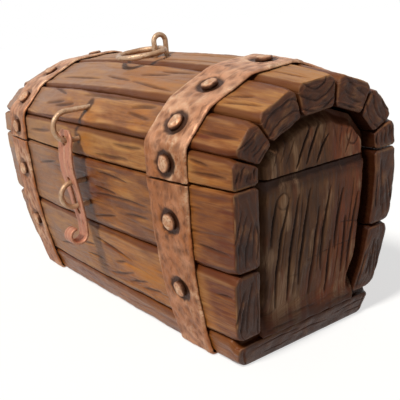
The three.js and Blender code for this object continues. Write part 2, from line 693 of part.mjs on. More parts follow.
// Hinges: a tongue leaf above and below, their knuckles on one pin
function hingeLeaf(x, z, sign, knuckles) {
  const half = HINGE_WIDTH / 2;
  const near = KNUCKLE + FIT;
  const shape = new THREE.Shape();
  shape.moveTo(-half, near).lineTo(half, near).lineTo(half, HINGE_REACH - HINGE_TIP);
  shape.quadraticCurveTo(half, HINGE_REACH, 0, HINGE_REACH);
  shape.quadraticCurveTo(-half, HINGE_REACH, -half, HINGE_REACH - HINGE_TIP);
  const options = { depth: HINGE_LEAF, bevelEnabled: false, curveSegments: WIRE_SIDES };
  const g = new THREE.ExtrudeGeometry(shape, options);
  g.rotateX(Math.PI / 2);
  if (sign < 0) g.rotateY(Math.PI);
  g.translate(x, leafY + HINGE_LEAF, z);
  const reach = sign * (near + HINGE_LEAF);
  const plate = knuckles.reduce((leaf, [a, b]) => {
    const lo = [x + a, leafY, z + Math.min(0, reach)];
    const hi = [x + b, leafY + HINGE_LEAF, z + Math.max(0, reach)];
    return leaf.add(box(lo, hi)).add(bar(v3(x + a, hingeY, z), alongX, b - a, KNUCKLE));
  }, solid(g));
  const boreLength = HINGE_WIDTH + 2 * OVERCUT;
  const bore = bar(v3(x - boreLength / 2, hingeY, z), alongX, boreLength, PIN + FIT);
  return cutAll(plate, [bore, nailHole(x, z + sign * nailRise)]);
}
const knuckleHalf = HINGE_WIDTH / 6;
const middleKnuckle = [[FIT / 2 - knuckleHalf, knuckleHalf - FIT / 2]];
const outerKnuckles = [
  [-HINGE_WIDTH / 2, -knuckleHalf - FIT / 2],
  [knuckleHalf + FIT / 2, HINGE_WIDTH / 2],
];
for (const [side, way] of Object.entries(sides)) {
  const x = way * hingeX;
  const pin = bar(v3(x - HINGE_WIDTH / 2, hingeY, BASE_HEIGHT), alongX, HINGE_WIDTH, PIN);
  addPiece(base, `hinge_pin_${side}`, pin, brass);
  for (const [part, group, z, sign, knuckles] of [
    ['lid', lid, 0, 1, middleKnuckle],
    ['base', base, BASE_HEIGHT, -1, outerKnuckles],
  ]) {
    const seat = nailSeat(x, z + sign * nailRise);
    const nail = fastener(NAIL_HEAD, NAIL_DOME, NAIL_SHANK, NAIL_GRIP, seat, alongY);
    addPiece(group, `hinge_leaf_${part}_${side}`, hingeLeaf(x, z, sign, knuckles), brass);
    addPiece(group, `hinge_nail_${part}_${side}`, nail, brass);
  }
}

// The hasp's line from its head to its scroll: how far out, how high, and how wide
const eyeRise = CURL_RISE - CURL + FIT;
function haspLine() {
  const bends = [
    [HEAD_OUT, eyeRise + HEAD_REACH],
    [EYE_OUT, eyeRise],
    [BELLY_OUT, -BELLY_DROP],
    [WAIST_OUT, -CATCH_DROP],
    [HEEL_OUT, -HEEL_DROP],
  ];
  const curve = new THREE.SplineCurve(bends.map((p) => new THREE.Vector2(...p)));
  const strap = parts(STATIONS).map((f) => {
    const round = Math.sin((Math.PI / 2) * Math.min(1, f * (bends.length - 1)));
    const taper = Math.max(0, 2 * f - 1) ** 2;
    const width = lerp(HASP_WIDTH, HASP_HEEL_WIDTH, taper);
    return { at: curve.getPoint(f), width: lerp(HASP_TIP_WIDTH, width, round) };
  });
  const scroll = parts(COURSES).map((f) => {
    const turn = f * radians(SCROLL_TURN);
    const r = lerp(SCROLL, SCROLL_TIP, f ** 3);
    const out = HEEL_OUT + SCROLL - r * Math.cos(turn);
    const at = new THREE.Vector2(out, -SCROLL_DROP - r * Math.sin(turn));
    return { at, width: lerp(HASP_HEEL_WIDTH, HASP_TIP_WIDTH, f) };
  });
  return [...strap, ...scroll];
}

function haspStrap() {
  const line = haspLine();
  const strap = loft(
    line.map(({ at, width }, i) => {
      const before = line[Math.max(0, i - 1)].at;
      const after = line[Math.min(line.length - 1, i + 1)].at;
      const d = after.clone().sub(before).setLength(HASP / 2);
      return [[-1, -1], [1, -1], [1, 1], [-1, 1]].map(([across, face]) =>
        v3(haspX + (across * width) / 2, front - at.x + face * d.y, at.y + face * d.x),
      );
    }),
  );
  const depth = BELLY_OUT + OVERCUT;
  const eye = bar(v3(haspX, front - depth, eyeRise), alongY, depth, EYE);
  const half = WIRE + SLOT_SIDE;
  const shape = new THREE.Shape();
  shape.absarc(0, CATCH + WIRE + SLOT_ABOVE - half, half, 0, Math.PI);
  shape.absarc(0, half - CATCH - WIRE - SLOT_BELOW, half, Math.PI, Math.PI * 2);
  const options = { depth, bevelEnabled: false, curveSegments: WIRE_SIDES };
  const slot = new THREE.ExtrudeGeometry(shape, options);
  slot.rotateX(Math.PI / 2);
  slot.translate(haspX, front, -CATCH_DROP);
  return cutAll(strap, [eye, solid(slot)]);
}
addPiece(hasp, 'hasp_strap', haspStrap(), copper);

// A staple in the YZ plane: straight leg, half turn, straight leg
function curledStaple(out, z, radius, legs) {
  const y = front - out;
  const turn = parts(WIRE_SIDES).map((f) => {
    const a = Math.PI * f;
    return v3(haspX, y - radius * Math.sin(a), z + radius * Math.cos(a));
  });
  const [top, bottom] = legs.map(([legZ, end]) =>
    parts(3).slice(1).map((f) => v3(haspX, lerp(y, end, f), legZ)),
  );
  return wire([...top.toReversed(), ...turn, ...bottom]);
}
addPiece(lid, 'hasp_staple', curledStaple(CURL_OUT, CURL_RISE, CURL, curlLegs), brass);
addPiece(base, 'catch_staple', curledStaple(CATCH_OUT, catchZ, CATCH, catchLegs), brass);

// Ring staple in the lid's crown, and the lift ring threaded through it
function ringStaple() {
  const spring = loopTop - LOOP;
  const leg = (y) => parts(3).map((f) => v3(0, y, lerp(loopFoot, spring, f)));
  const turn = parts(WIRE_SIDES).slice(1, -1).map((f) => {
    const a = Math.PI * f;
    return v3(0, -LOOP * Math.cos(a), spring + LOOP * Math.sin(a));
  });
  return wire([...leg(-LOOP), ...turn, ...leg(LOOP).toReversed()]);
}
addPiece(lid, 'ring_staple', ringStaple(), brass);

ring.position.z = crown + RING_LIFT;
ring.rotation.x = radians(RING_DROOP);
const liftRing = new THREE.TorusGeometry(RING, RING_WIRE, WIRE_SIDES, WIRE_STEPS);
liftRing.translate(0, -RING, 0);
addPiece(ring, 'lift_ring', solid(liftRing), brass);

export default chest;
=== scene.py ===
"""Looks of the small domed treasure chest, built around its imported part.

Shapes are worked out in millimetres and turned into metres when a mesh is made. Each wooden
piece starts as a fine lattice over the surface of a box, in its own plank space: along the
grain, across the face, and down into the wood. It is rounded, carved and then bent into place.
"""

import bmesh
import bpy
import numpy as np
from mathutils import Matrix, Vector


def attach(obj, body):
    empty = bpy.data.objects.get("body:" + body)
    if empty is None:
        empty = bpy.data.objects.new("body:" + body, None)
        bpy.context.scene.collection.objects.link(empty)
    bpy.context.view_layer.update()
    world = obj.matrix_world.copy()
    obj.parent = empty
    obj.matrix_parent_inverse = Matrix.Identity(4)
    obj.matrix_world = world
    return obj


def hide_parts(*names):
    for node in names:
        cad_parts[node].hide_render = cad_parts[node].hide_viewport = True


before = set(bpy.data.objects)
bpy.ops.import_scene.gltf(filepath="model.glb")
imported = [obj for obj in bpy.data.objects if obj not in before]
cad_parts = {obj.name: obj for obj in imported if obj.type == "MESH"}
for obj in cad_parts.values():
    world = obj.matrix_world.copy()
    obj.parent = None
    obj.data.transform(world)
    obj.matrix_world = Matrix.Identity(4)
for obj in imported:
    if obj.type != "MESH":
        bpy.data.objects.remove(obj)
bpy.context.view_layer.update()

# The part's own sizes, in millimetres
LENGTH, DEPTH, BASE_HEIGHT = 200.0, 84.0, 75.0
END_LEAN, END_LEAN_POWER = 14.0, 1.7
FACE_LEAN, FACE_LEAN_POWER = 8.0, 2.8
SEAM_BOW, BOTTOM_BOW, BOW_POWER, CROWN_BOW = 5.0, 1.0, 2.4, 6.0
STAVE, FIT, SEAM_GAP = 12.0, 0.3, 1.0
BOARD_HEIGHT, BOARD_SLOPE, STAVE_SPLIT = 12.5, 2.5, 43.0
END_RECESS, END_PANEL, PANEL_FIT = 4.0, 9.0, 0.6
ARCH = np.array([(-42, 0), (-41.2, 12.2), (-29.8, 23.6), (-10.6, 31.8),
                 (10.6, 33.2), (29.8, 26), (41.2, 12), (42, 0)], float)
CROWN_TOP = 33.2
BAND = 1.2
BANDS = {"left": ((-86.0, -62.0), (-83.0, -66.0)), "right": ((53.0, 78.0), (50.0, 71.0))}
FRONT = DEPTH / 2 + SEAM_BOW

# Main carved lines, as in the part: from, to, start and finish across, and bend
LINE, LINE_DEPTH, PANEL_LINE, PANEL_LINE_DEPTH = 1.3, 0.8, 1.8, 1.4
LINE_REACH = LINE * 0.7  # half width of a line with its worn shoulders
LID_LINES = (
    ((-0.58, -0.32, 0.4, 0.56), (0.13, 0.4, 0.18, 0.22), (0.28, 0.49, 0.64, 0.7, -0.05),
     (0.78, 0.97, 0.32, 0.36), (0.78, 0.88, 0.71, 0.59)),
    ((-0.45, -0.27, 0.42, 0.58), (-0.34, -0.16, 0.4, 0.53), (-0.44, -0.29, 0.92, 0.77),
     (-0.12, 0.29, 0.8, 0.86), (0.31, 0.48, 0.67, 0.8), (0.31, 0.48, 0.53, 0.45),
     (0.77, 0.98, 0.43, 0.45)),
    ((-0.5, -0.12, 0.3, 0.34), (-0.1, 0.12, 0.46, 0.37), (0.14, 0.35, 0.59, 0.67),
     (0.26, 0.48, 0.74, 0.8), (0.14, 0.48, 0.36, 0.22), (0.78, 0.97, 0.18, 0.32),
     (0.78, 0.89, 0.37, 0.5)),
    ((-0.55, -0.1, 0.3, 0.28), (-0.5, -0.08, 0.66, 0.7), (0.08, 0.5, 0.25, 0.3),
     (0.1, 0.45, 0.7, 0.74), (0.79, 0.97, 0.4, 0.45)),
    ((-0.5, 0.1, 0.35, 0.3), (0.05, 0.5, 0.68, 0.64), (0.8, 0.97, 0.5, 0.46)),
    ((-0.45, 0.2, 0.6, 0.66), (0.1, 0.48, 0.3, 0.33), (0.8, 0.96, 0.4, 0.42)),
    ((-0.58, -0.42, 0.4, 0.44), (-0.18, 0.16, 0.5, 0.56), (0.8, 0.96, 0.5, 0.5)),
)
WALL_LINES = {
    ("front", "upper"): (
        (-0.51, -0.3, 0.69, 0.81), (0.02, 0.49, 0.49, 0.56, 0.03), (0.12, 0.37, 0.86, 0.83),
        (0.07, 0.26, 0.63, 0.6), (0.31, 0.48, 0.35, 0.4), (0.02, 0.22, 0.14, 0.27),
        (0.79, 0.97, 0.28, 0.26)),
    ("front", "lower"): (
        (-0.55, -0.28, 0.28, 0.42), (-0.22, -0.08, 0.54, 0.59), (-0.2, -0.03, 0.36, 0.4),
        (-0.03, 0.28, 0.77, 0.62), (0.01, 0.27, 0.2, 0.41, -0.03), (0.11, 0.21, 0.46, 0.54),
        (0.19, 0.38, 0.19, 0.36), (0.31, 0.48, 0.18, 0.29), (0.88, 0.98, 0.67, 0.71)),
    ("back", "upper"): (
        (-0.5, 0.15, 0.45, 0.4), (-0.2, 0.2, 0.75, 0.7), (0.2, 0.5, 0.55, 0.5),
        (0.8, 0.97, 0.4, 0.42)),
    ("back", "lower"): (
        (-0.55, -0.1, 0.5, 0.56), (-0.3, 0.25, 0.75, 0.72), (0.0, 0.48, 0.4, 0.34),
        (0.8, 0.97, 0.55, 0.5)),
}
BASE_PANEL_LINES = (
    (0.65, 0.9, -0.54, -0.47, -0.01), (0.28, 0.89, -0.43, -0.33, -0.065),
    (0.29, 0.89, -0.29, -0.22, -0.04), (0.37, 0.9, -0.16, -0.08, -0.035),
    (0.28, 0.79, 0.0, 0.03, -0.015), (0.4, 0.88, 0.13, 0.17, -0.05), (0.25, 0.57, 0.22, 0.21),
    (0.5, 0.85, 0.29, 0.34, -0.03), (0.34, 0.69, 0.41, 0.39), (0.33, 0.8, 0.5, 0.54, -0.03),
)
LID_PANEL_LINES = (
    (0.04, 0.51, -0.25, -0.05, 0.01), (0.05, 0.51, -0.12, 0.06, -0.01),
    (0.04, 0.34, 0.0, 0.16, -0.01),
)


def bow(u):
    return 1 - np.minimum(1, np.abs(u)) ** BOW_POWER


def drop(z):
    return np.clip(1 - z / BASE_HEIGHT, 0, 1)


def half_length(z):
    return LENGTH / 2 - END_LEAN * drop(z) ** END_LEAN_POWER


def face(u, z):
    t = drop(z)
    lean = FACE_LEAN * t ** FACE_LEAN_POWER
    return DEPTH / 2 - lean + (SEAM_BOW + (BOTTOM_BOW - SEAM_BOW) * t) * bow(u)


def lid_point(y, z, u):
    b = bow(u)
    return y * (1 + SEAM_BOW / (DEPTH / 2) * b), z * (1 + CROWN_BOW / CROWN_TOP * b)


def lerp(a, b, t):
    return a + (b - a) * t


def smooth(t):
    t = np.clip(t, 0, 1)
    return t * t * (3 - 2 * t)


# Noise


def hashed(i, seed):
    h = (i[..., 0] * 374761393 + i[..., 1] * 668265263 + i[..., 2] * 2147483629
         + seed * 974634777) & 0xFFFFFFFF
    h = ((h ^ (h >> 13)) * 1274126177) & 0xFFFFFFFF
    return ((h ^ (h >> 16)) & 0xFFFFFF) / float(0xFFFFFF)


def noise(p, seed=0):
    """Smooth noise from -1 to 1 over points of any shape (..., 3)."""
    base = np.floor(p).astype(np.int64)
    f = smooth(p - base)
    total = np.zeros(p.shape[:-1])
    for corner in np.ndindex(2, 2, 2):
        c = np.array(corner)
        weight = np.prod(np.where(c, f, 1 - f), axis=-1)
        total += weight * hashed(base + c, seed)
    return total * 2 - 1


def line_noise(x, seed=0):
    p = np.zeros(np.shape(x) + (3,))
    p[..., 0] = x
    p[..., 1] = 0.37
    return noise(p, seed)


def xyz(x, y, z):
    return np.stack(np.broadcast_arrays(x, y, z), axis=-1).astype(float)


def cells(p, seed=0):
    """Distance to the nearest of a scatter of points, one in each unit square."""
    base = np.floor(p[..., :2]).astype(np.int64)
    best = np.full(p.shape[:-1], 9.0)
    for dx in (-1, 0, 1):
        for dy in (-1, 0, 1):
            cell = base + np.array((dx, dy))
            key = np.concatenate([cell, np.zeros_like(cell[..., :1])], axis=-1)
            at = cell + np.stack([hashed(key, seed), hashed(key, seed + 7)], axis=-1)
            best = np.minimum(best, np.linalg.norm(p[..., :2] - at, axis=-1))
    return best


# Meshes


def lattice(nx, ny, nz):
    """Grid places and outward quads of the surface of a box of nx by ny by nz cells."""
    index = -np.ones((nx + 1, ny + 1, nz + 1), int)
    shell = np.zeros(index.shape, bool)
    shell[[0, -1]] = shell[:, [0, -1]] = shell[:, :, [0, -1]] = True
    places = np.argwhere(shell)
    index[shell] = np.arange(len(places))
    quads = []
    for axis in range(3):
        grid = np.moveaxis(index, axis, 0)
        for end, far in ((0, False), (-1, True)):
            g = grid[end]
            a, b, c, d = g[:-1, :-1], g[1:, :-1], g[1:, 1:], g[:-1, 1:]
            order = (a, b, c, d) if far == (axis != 1) else (a, d, c, b)
            quads.append(np.stack(order, axis=-1).reshape(-1, 4))
    return places, np.concatenate(quads)


def piece(name, body, slot, look, points, faces, replaces=(), **values):
    """Makes a mesh piece from points in millimetres, turned to face outwards."""
    faces = np.asarray(faces)
    a, b, c = (points[faces[:, k]] for k in (0, 1, 2))
    volume = np.einsum("ij,ij->i", a, np.cross(b, c)).sum()
    if faces.shape[1] == 4:
        d = points[faces[:, 3]]
        volume += np.einsum("ij,ij->i", a, np.cross(c, d)).sum()
    if volume < 0:
        faces = faces[:, ::-1]
    mesh = bpy.data.meshes.new(name)
    mesh.from_pydata((points * 0.001).tolist(), [], faces.tolist())
    mesh.polygons.foreach_set("use_smooth", np.ones(len(mesh.polygons), bool))
    for key, value in values.items():
        if np.ndim(value) == 2:
            kind, field = "FLOAT_VECTOR", "vector"
        else:
            kind, field = "FLOAT", "value"
        layer = mesh.attributes.new(key, kind, "POINT")
        layer.data.foreach_set(field, np.asarray(value, np.float32).ravel())
    mesh.materials.append(look)
    made = bpy.data.objects.new(name, mesh)
    bpy.context.scene.collection.objects.link(made)
    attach(made, body)
    if replaces:
        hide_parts(*replaces)
    return made


def rounded(p, size, radii):
    """Rounds a box from the origin to size. Gives the points and their outward directions."""
    q = np.clip(p, radii, np.maximum(radii, size - radii))
    e = (p - q) / radii
    length = np.linalg.norm(e, axis=1, keepdims=True)
    e /= np.maximum(length, 1e-9)
    out = e / radii
    return q + e * radii, out / np.linalg.norm(out, axis=1, keepdims=True)


def spaced(length, fine, coarse, margin):
    """Places from 0 to length: fine steps within a margin of both ends, coarse between."""
    edge = np.arange(0, margin, fine)
    count = max(1, int(round((length - 2 * margin) / coarse)))
    inner = np.linspace(margin, length - margin, count + 1)
    return np.concatenate([edge, inner, length - edge[::-1]])


def cracks(x, c, lines, seed=0):
    """Depth and darkness of carved lines: (x from, x to, c, slope, bend, half width, depth)."""
    depth, dark = np.zeros_like(x), np.zeros_like(x)
    for k, (x0, x1, at, slope, bend, width, deep) in enumerate(lines):
        t = (x - x0) / (x1 - x0)
        near = (t > 0) & (t < 1)
        if not near.any():
            continue
        tt = t[near]
        taper = (4 * tt * (1 - tt)) ** 0.4
        wander = 0.25 * line_noise(x[near] / 9.0 + 17 * k, seed + k)
        middle = at + slope * (tt - 0.5) * (x1 - x0) + bend * (4 * tt * (1 - tt)) + wander
        away = np.abs(c[near] - middle) / (width * (0.35 + 0.65 * taper))
        cut = np.clip(1 - away, 0, 1)
        depth[near] = np.maximum(depth[near], deep * taper * cut ** 0.8)
        dark[near] = np.maximum(dark[near], np.clip(deep, 0.3, 1) * taper * smooth(1.6 * cut))
    return depth, dark


def main_lines(entries, start, unit, width, half_width, deep):
    """Lines in millimetres from shares: along from start in units, across in widths."""
    lines = []
    for a, b, c0, c1, *bend in entries:
        x0, x1 = start + a * unit, start + b * unit
        lines.append((x0, x1, (c0 + c1) / 2 * width, (c1 - c0) * width / (x1 - x0),
                      sum(bend) * width, half_width, deep))
    return lines


def random_lines(rng, length, width, count, longest, deepest):
    lines = []
    for _ in range(count):
        run = rng.uniform(0.18, 1.0) * longest
        x0 = rng.uniform(-0.2 * run, length - 0.8 * run)
        at = rng.uniform(1.5, width - 1.5)
        slope = rng.normal(0, 0.035)
        bend = rng.normal(0, 0.9)
        wide = rng.uniform(0.35, 0.75)
        deep = rng.uniform(0.35, 1.0) ** 1.4 * deepest
        lines.append((x0, x0 + run, at, slope, bend, wide, deep))
    return lines


def end_lines(rng, width, thick):
    """A fan of cracks across the end of a plank."""
    lines = []
    for t in (0.14, 0.32, 0.5, 0.68, 0.85):
        x0, x1 = rng.uniform(0.03, 0.3) * width, rng.uniform(0.55, 0.97) * width
        lines.append((x0, x1, (t + rng.normal(0, 0.03)) * thick, lerp(0.36, -0.04, t),
                      rng.normal(0, 0.5), rng.uniform(0.4, 0.65), rng.uniform(0.4, 0.9)))
    return lines


# Cracks across the board's ends: y from and to, height, slope, bend, half width, depth
BOARD_END_LINES = [
    (8, 30, 9.0, 0.03, 0.8, 0.4, 0.6), (26, 47, 6.4, -0.05, 0.6, 0.4, 0.5),
    (12, 26, 4.2, 0.06, -0.4, 0.35, 0.4), (50, 72, 8.2, 0.04, 0.7, 0.4, 0.5),
    (56, 70, 4.4, -0.03, 0.5, 0.35, 0.4),
]

GROOVE, GROOVE_REACH = 1.3, 2.6  # depth and reach of the sloping faces of a groove
# Where wires enter: x, height and radius on the front, x, y and radius on the crown
FRONT_HOLES = [(-1.5, 96.5, 2.2), (-1.5, 83.2, 1.5), (-1.5, 64.5, 1.5), (-1.5, 53.5, 1.5)]
CROWN_HOLES = [(0.0, -3.1, 1.5), (0.0, 3.1, 1.5)]
CROWN_FROM = 100.0  # height above which wood belongs to the crown
# Steps over a plank: fine near its ends, coarse between, and how far the fine ones reach
ALONG_STEPS, ACROSS_STEPS = (0.4, 1.0, 3.2), (0.3, 0.36, 2.4)
DEPTH_FINE, DEPTH_COARSE, BOARD_COARSE, DEPTH_REACH = 0.35, 0.4, 1.2, 2.1
FINE_LINE_AREA, FINE_LINE_LENGTH, FINE_LINE_DEPTH = 480, 60, 0.4


def painted_hole_shade(points):
    """Painted shade round the holes that wires go into."""
    x, y, z = points.T
    away = np.full(len(points), 99.0)
    for hx, hz, r in FRONT_HOLES:
        away = np.where(y < 0, np.minimum(away, np.hypot(x - hx, z - hz) - r), away)
    for hx, hy, r in CROWN_HOLES:
        away = np.where(z > CROWN_FROM, np.minimum(away, np.hypot(x - hx, y - hy) - r), away)
    return 0.9 * (1 - smooth(away / 1.4))


def plank(name, body, size, to_world, seed, edges, node, stain, tone, lines=(), knots=(),
          rings=None, end_cracks=None, depth_step=DEPTH_COARSE):
    """A carved plank. edges are the worn radii at c = 0, c = width and at the two ends."""
    length, width, thick = size
    rng = np.random.default_rng(seed)
    xs = spaced(length, *ALONG_STEPS)
    cs = spaced(width, *ACROSS_STEPS)
    ds = spaced(thick, DEPTH_FINE, depth_step, DEPTH_REACH)
    places, faces = lattice(len(xs) - 1, len(cs) - 1, len(ds) - 1)
    p = np.stack([xs[places[:, 0]], cs[places[:, 1]], ds[places[:, 2]]], axis=1)
    x, c, d = p.T
    low, high, ends = edges
    # Worn radii vary along each edge, and open up towards the ends.
    worn = 1 + 0.3 * line_noise(x / 8.0, seed + 1) + 0.15 * line_noise(x / 2.6, seed + 2)
    near = np.minimum(x, length - x)
    worn = worn * (1 + 0.25 * (1 - smooth(near / 22)) + 0.5 * (1 - smooth(near / 5)))
    across = smooth(c / width)
    side = lerp(low[0], high[0], across) * worn
    near_end = 1 + 0.4 * line_noise(c / 4.0 + 50, seed + 3)
    radii = np.stack([ends * near_end, side * 1.3, side], axis=1)
    deep = d > thick / 2
    # The inner edges are crisp, save at the two ends.
    radii[deep, 2] = 0.6 + 1.8 * (1 - smooth(near[deep] / 4))
    radii[deep, 1] = np.minimum(radii[deep, 1], 0.6 + 2.0 * (1 - smooth(near[deep] / 4)))
    radii = np.minimum(radii, np.array([length, width, thick]) * 0.45)
    q, n = rounded(p, np.array(size), radii)
    x, c, d = q.T
    top = np.clip(-n[:, 2], 0, 1) ** 1.5
    end = np.clip(1.15 * np.abs(n[:, 0]), 0, 1) ** 1.3
    # Knots bend the grain round themselves.
    bent = c.copy()
    for kx, kc, reach, push in knots:
        away = np.exp(-((x - kx) / reach) ** 2 - np.abs(c - kc) / (reach * 0.6))
        bent -= np.sign(c - kc) * push * away * (1 - np.exp(-np.abs(c - kc)))
    cut, dark = cracks(x, c, lines, seed)
    count = int(width * length / FINE_LINE_AREA)
    more = random_lines(rng, length, width, count, FINE_LINE_LENGTH, FINE_LINE_DEPTH)
    fine, fine_dark = cracks(x, bent, more, seed + 60)
    cut, dark = np.maximum(cut, fine), np.maximum(0.74 * dark, 0.36 * fine_dark)
    wave = 0.2 * noise(xyz(x / 26, bent / 7, 0.0), seed + 4)
    stroke = 0.16 * noise(xyz(x / 27, bent / 2.4, 8.0), seed + 13)
    ridge = 0.12 * np.abs(noise(xyz(x / 22, bent / 1.1, 3.0), seed + 5))
    nick = 0.08 * noise(xyz(x / 3.1, c / 2.2, d / 2.2), seed + 6)
    carved = top * (cut + wave + stroke + ridge + nick + 0.15)
    # End grain: a fan of cracks, growth rings and rough saw marks
    if end_cracks:
        end_cut, end_dark = cracks(d, c, end_cracks, seed + 9)
    else:
        end_cut, end_dark = cracks(c, d, end_lines(rng, width, thick), seed + 9)
    if rings is not None:
        centre_c, centre_d, step = rings
        radius = np.hypot(c - centre_c * width, (d - centre_d) * 1.1)
        radius += 0.3 * noise(xyz(c / 3, d / 3, 1.0), seed + 12)
        arc = np.clip(1 - np.abs((radius / step) % 1 - 0.5) * step / 0.7, 0, 1)
        end_cut = np.maximum(0.3 * end_cut, 0.6 * arc)
        end_dark = np.maximum(0.3 * end_dark, 0.8 * arc)
    rough = 0.24 * noise(xyz(c / 3.5, d / 3.5, x), seed + 7)
    rough += 0.12 * noise(xyz(c / 4.0, (d + 0.3 * c) / 0.9, x), seed + 8)
    carved = carved + end * (end_cut + rough + 0.2)
    sides = np.clip(np.abs(n[:, 1]), 0, 1)
    # Behind the groove the staves all but touch, so that no light comes through.
    at_low = c < width / 2
    grooved = np.where(at_low, low[1], high[1])
    tongue = sides ** 4 * smooth((d - 0.9) / 0.6) * smooth((thick - 0.9 - d) / 0.6)
    carved = carved + sides * 0.12 * (1 - tongue) * (1 + noise(xyz(x / 5, d / 3, c), seed + 10))
    q = q - n * np.maximum(carved, 0)[:, None]
    push = tongue * np.where(grooved > 0, FIT / 2 * 0.95, SEAM_GAP * 0.3)
    q[:, 1] += np.where(at_low, -push, push) * (thick == STAVE)
    # Two planks meet in an open groove, which gapes at the ends.
    gap = np.clip(np.minimum(q[:, 1], width - q[:, 1]), 0, None)
    gape = 1 - smooth(near / 5)
    vary = 1 + 0.3 * line_noise(x / 12.0 + np.where(at_low, 0, 60), seed + 14)
    # The grooves are narrower towards the left.
    vary *= lerp(0.6, 1.05, smooth((x / length - 0.3) / 0.4))
    slope_reach = GROOVE_REACH * vary * (1 + 0.3 * gape)
    slope = grooved * GROOVE * vary * (1 + 0.5 * gape) * np.clip(1 - gap / slope_reach, 0, 1)
    q[:, 2] += slope * (1 - q[:, 2] / thick)
    spread = 0.6 * grooved * gape * np.exp(-gap / 2)
    q[:, 1] += np.where(at_low, spread, -spread)
    # Grooves are stained a warm brown. Painted shade darkens them deep where two planks meet, and
    # darkens the inner faces.
    front = np.clip(-n[:, 2], 0, 1)
    groove = grooved * (1 - smooth((gap / slope_reach - 0.7) / 0.5)) * (1 - 0.7 * end)
    painted_joint_shade = smooth((q[:, 2] - 1.5) / 2.2) * np.exp(-gap / 0.7) * (1 - end)
    inner = smooth((d - thick / 2) / 3)
    painted_joint_shade = np.maximum(0.7 * painted_joint_shade, inner * (1 - end))
    # Handling brightened the crests. The shoulders of the grooves and the edges of the ends are
    # lighter too, partly from wear and partly as painted highlight.
    crest = 0.5 - 1.15 * (wave + stroke + ridge - 0.05 + 0.5 * nick) - 0.5 * cut
    shoulder = grooved * np.exp(-((gap - 1.15 * slope_reach) / 0.9) ** 2) * front
    shoulder *= np.clip(0.35 + 0.9 * noise(xyz(x / 9, gap / 3, 2.0), seed + 15), 0, 1)
    rim = 2.5 * np.clip(np.minimum(np.abs(n[:, 0]), np.maximum(np.abs(n[:, 1]), n[:, 2])), 0, 0.4)
    rim *= np.clip(0.4 + 1.2 * noise(xyz(c / 4, d / 4, x), seed + 11), 0, 1)
    rim = np.maximum(rim, shoulder)
    crest = lerp(crest, 0.5 - 1.3 * rough - 0.3 * end_cut, end)
    # A thin bright line runs along the edges of the end faces: worn edge and painted highlight.
    outer = np.minimum(np.minimum(c, width - c), np.minimum(d, thick - d))
    line = np.exp(-((outer - 0.35) / 0.35) ** 2) * (np.abs(n[:, 0]) > 0.55)
    line *= np.clip(0.25 + 1.3 * noise(xyz(c / 5, d / 5, x + 9), seed + 16), 0, 1)
    rim = np.maximum(rim * 0.6 * (1 - 0.8 * inner), (1 - 0.5 * inner) * line)
    points = to_world(q)
    offset = rng.uniform(-40, 40, 3)
    # Painted shade round the wire holes joins the dark of the lines.
    dark = np.maximum(dark, painted_hole_shade(points))
    grain = np.stack([x, bent, d], axis=1) + offset * (3, 1, 1)
    shade = np.maximum(np.maximum(dark * top, end_dark * end), painted_joint_shade)
    haze, gold, red = stain(points)
    # Painted shade: the inner faces lose their gold and sheen and take the dark red.
    haze, gold, red = haze * (1 - inner), gold * (1 - inner), np.maximum(red, inner)
    if end_cracks:
        groove = np.maximum(groove, 0.35 * end)
    shade *= lerp(1.0, 0.75, end)
    piece(
        name, body, "stave_wood", STAVE_LOOK, points, faces, replaces=[node], grain=grain,
        carve=shade, groove=groove, endgrain=end, rim=rim, crest=np.clip(crest, 0, 1),
        tone=np.full(len(points), tone), haze=haze, gold=gold, red=red)


# Materials


class Nodes:
    """A small helper that builds a material's node tree."""

    def __init__(self, name):
        self.material = bpy.data.materials.new(name)
        self.material.use_nodes = True
        self.tree = self.material.node_tree
        self.shader = self.tree.nodes["Principled BSDF"]

    def add(self, kind, inputs=(), **settings):
        node = self.tree.nodes.new("ShaderNode" + kind)
        for key, value in settings.items():
            setattr(node, key, value)
        for key, value in dict(inputs).items():
            self.put(node.inputs[key], value)
        return node

    def put(self, socket, value):
        if isinstance(value, bpy.types.NodeSocket):
            self.tree.links.new(value, socket)
        else:
            socket.default_value = value

    def math(self, operation, a, b=0.0, clamp=False):
        return self.add("Math", {0: a, 1: b}, operation=operation, use_clamp=clamp).outputs[0]

    def weighted(self, *pairs):
        """The sum of values, each times its weight."""
        total = self.math("MULTIPLY", *pairs[0])
        for pair in pairs[1:]:
            total = self.math("ADD", total, self.math("MULTIPLY", *pair))
        return total

    def attribute(self, name, vector=False):
        node = self.add("Attribute", attribute_name=name)
        return node.outputs["Vector" if vector else "Fac"]

    def noise(self, vector, scale, detail, rough, distortion=0.0):
        scaled = self.add("Mapping", {"Vector": vector, "Scale": scale}).outputs[0]
        inputs = {"Vector": scaled, "Scale": 1.0, "Detail": detail, "Roughness": rough,
                  "Distortion": distortion}
        return self.add("TexNoise", inputs).outputs[0]

    def ramp(self, value, stops):
        node = self.add("ValToRGB", {"Fac": value})
        found = node.color_ramp.elements
        while len(found) < len(stops):
            found.new(0.5)
        for element, (place, colour) in zip(found, stops):
            element.position = place
            element.color = (*colour, 1) if np.ndim(colour) else (colour,) * 3 + (1,)
        return node.outputs[0]

    def mix(self, factor, a, b):
        node = self.add("Mix", data_type="RGBA")
        for key, value in ((0, factor), (6, a), (7, b)):
            if isinstance(value, tuple):
                value = (*value, 1)
            self.put(node.inputs[key], value)
        return node.outputs[2]

    def bump(self, height, strength, distance):
        inputs = {"Height": height, "Strength": strength, "Distance": distance}
        return self.add("Bump", inputs).outputs[0]


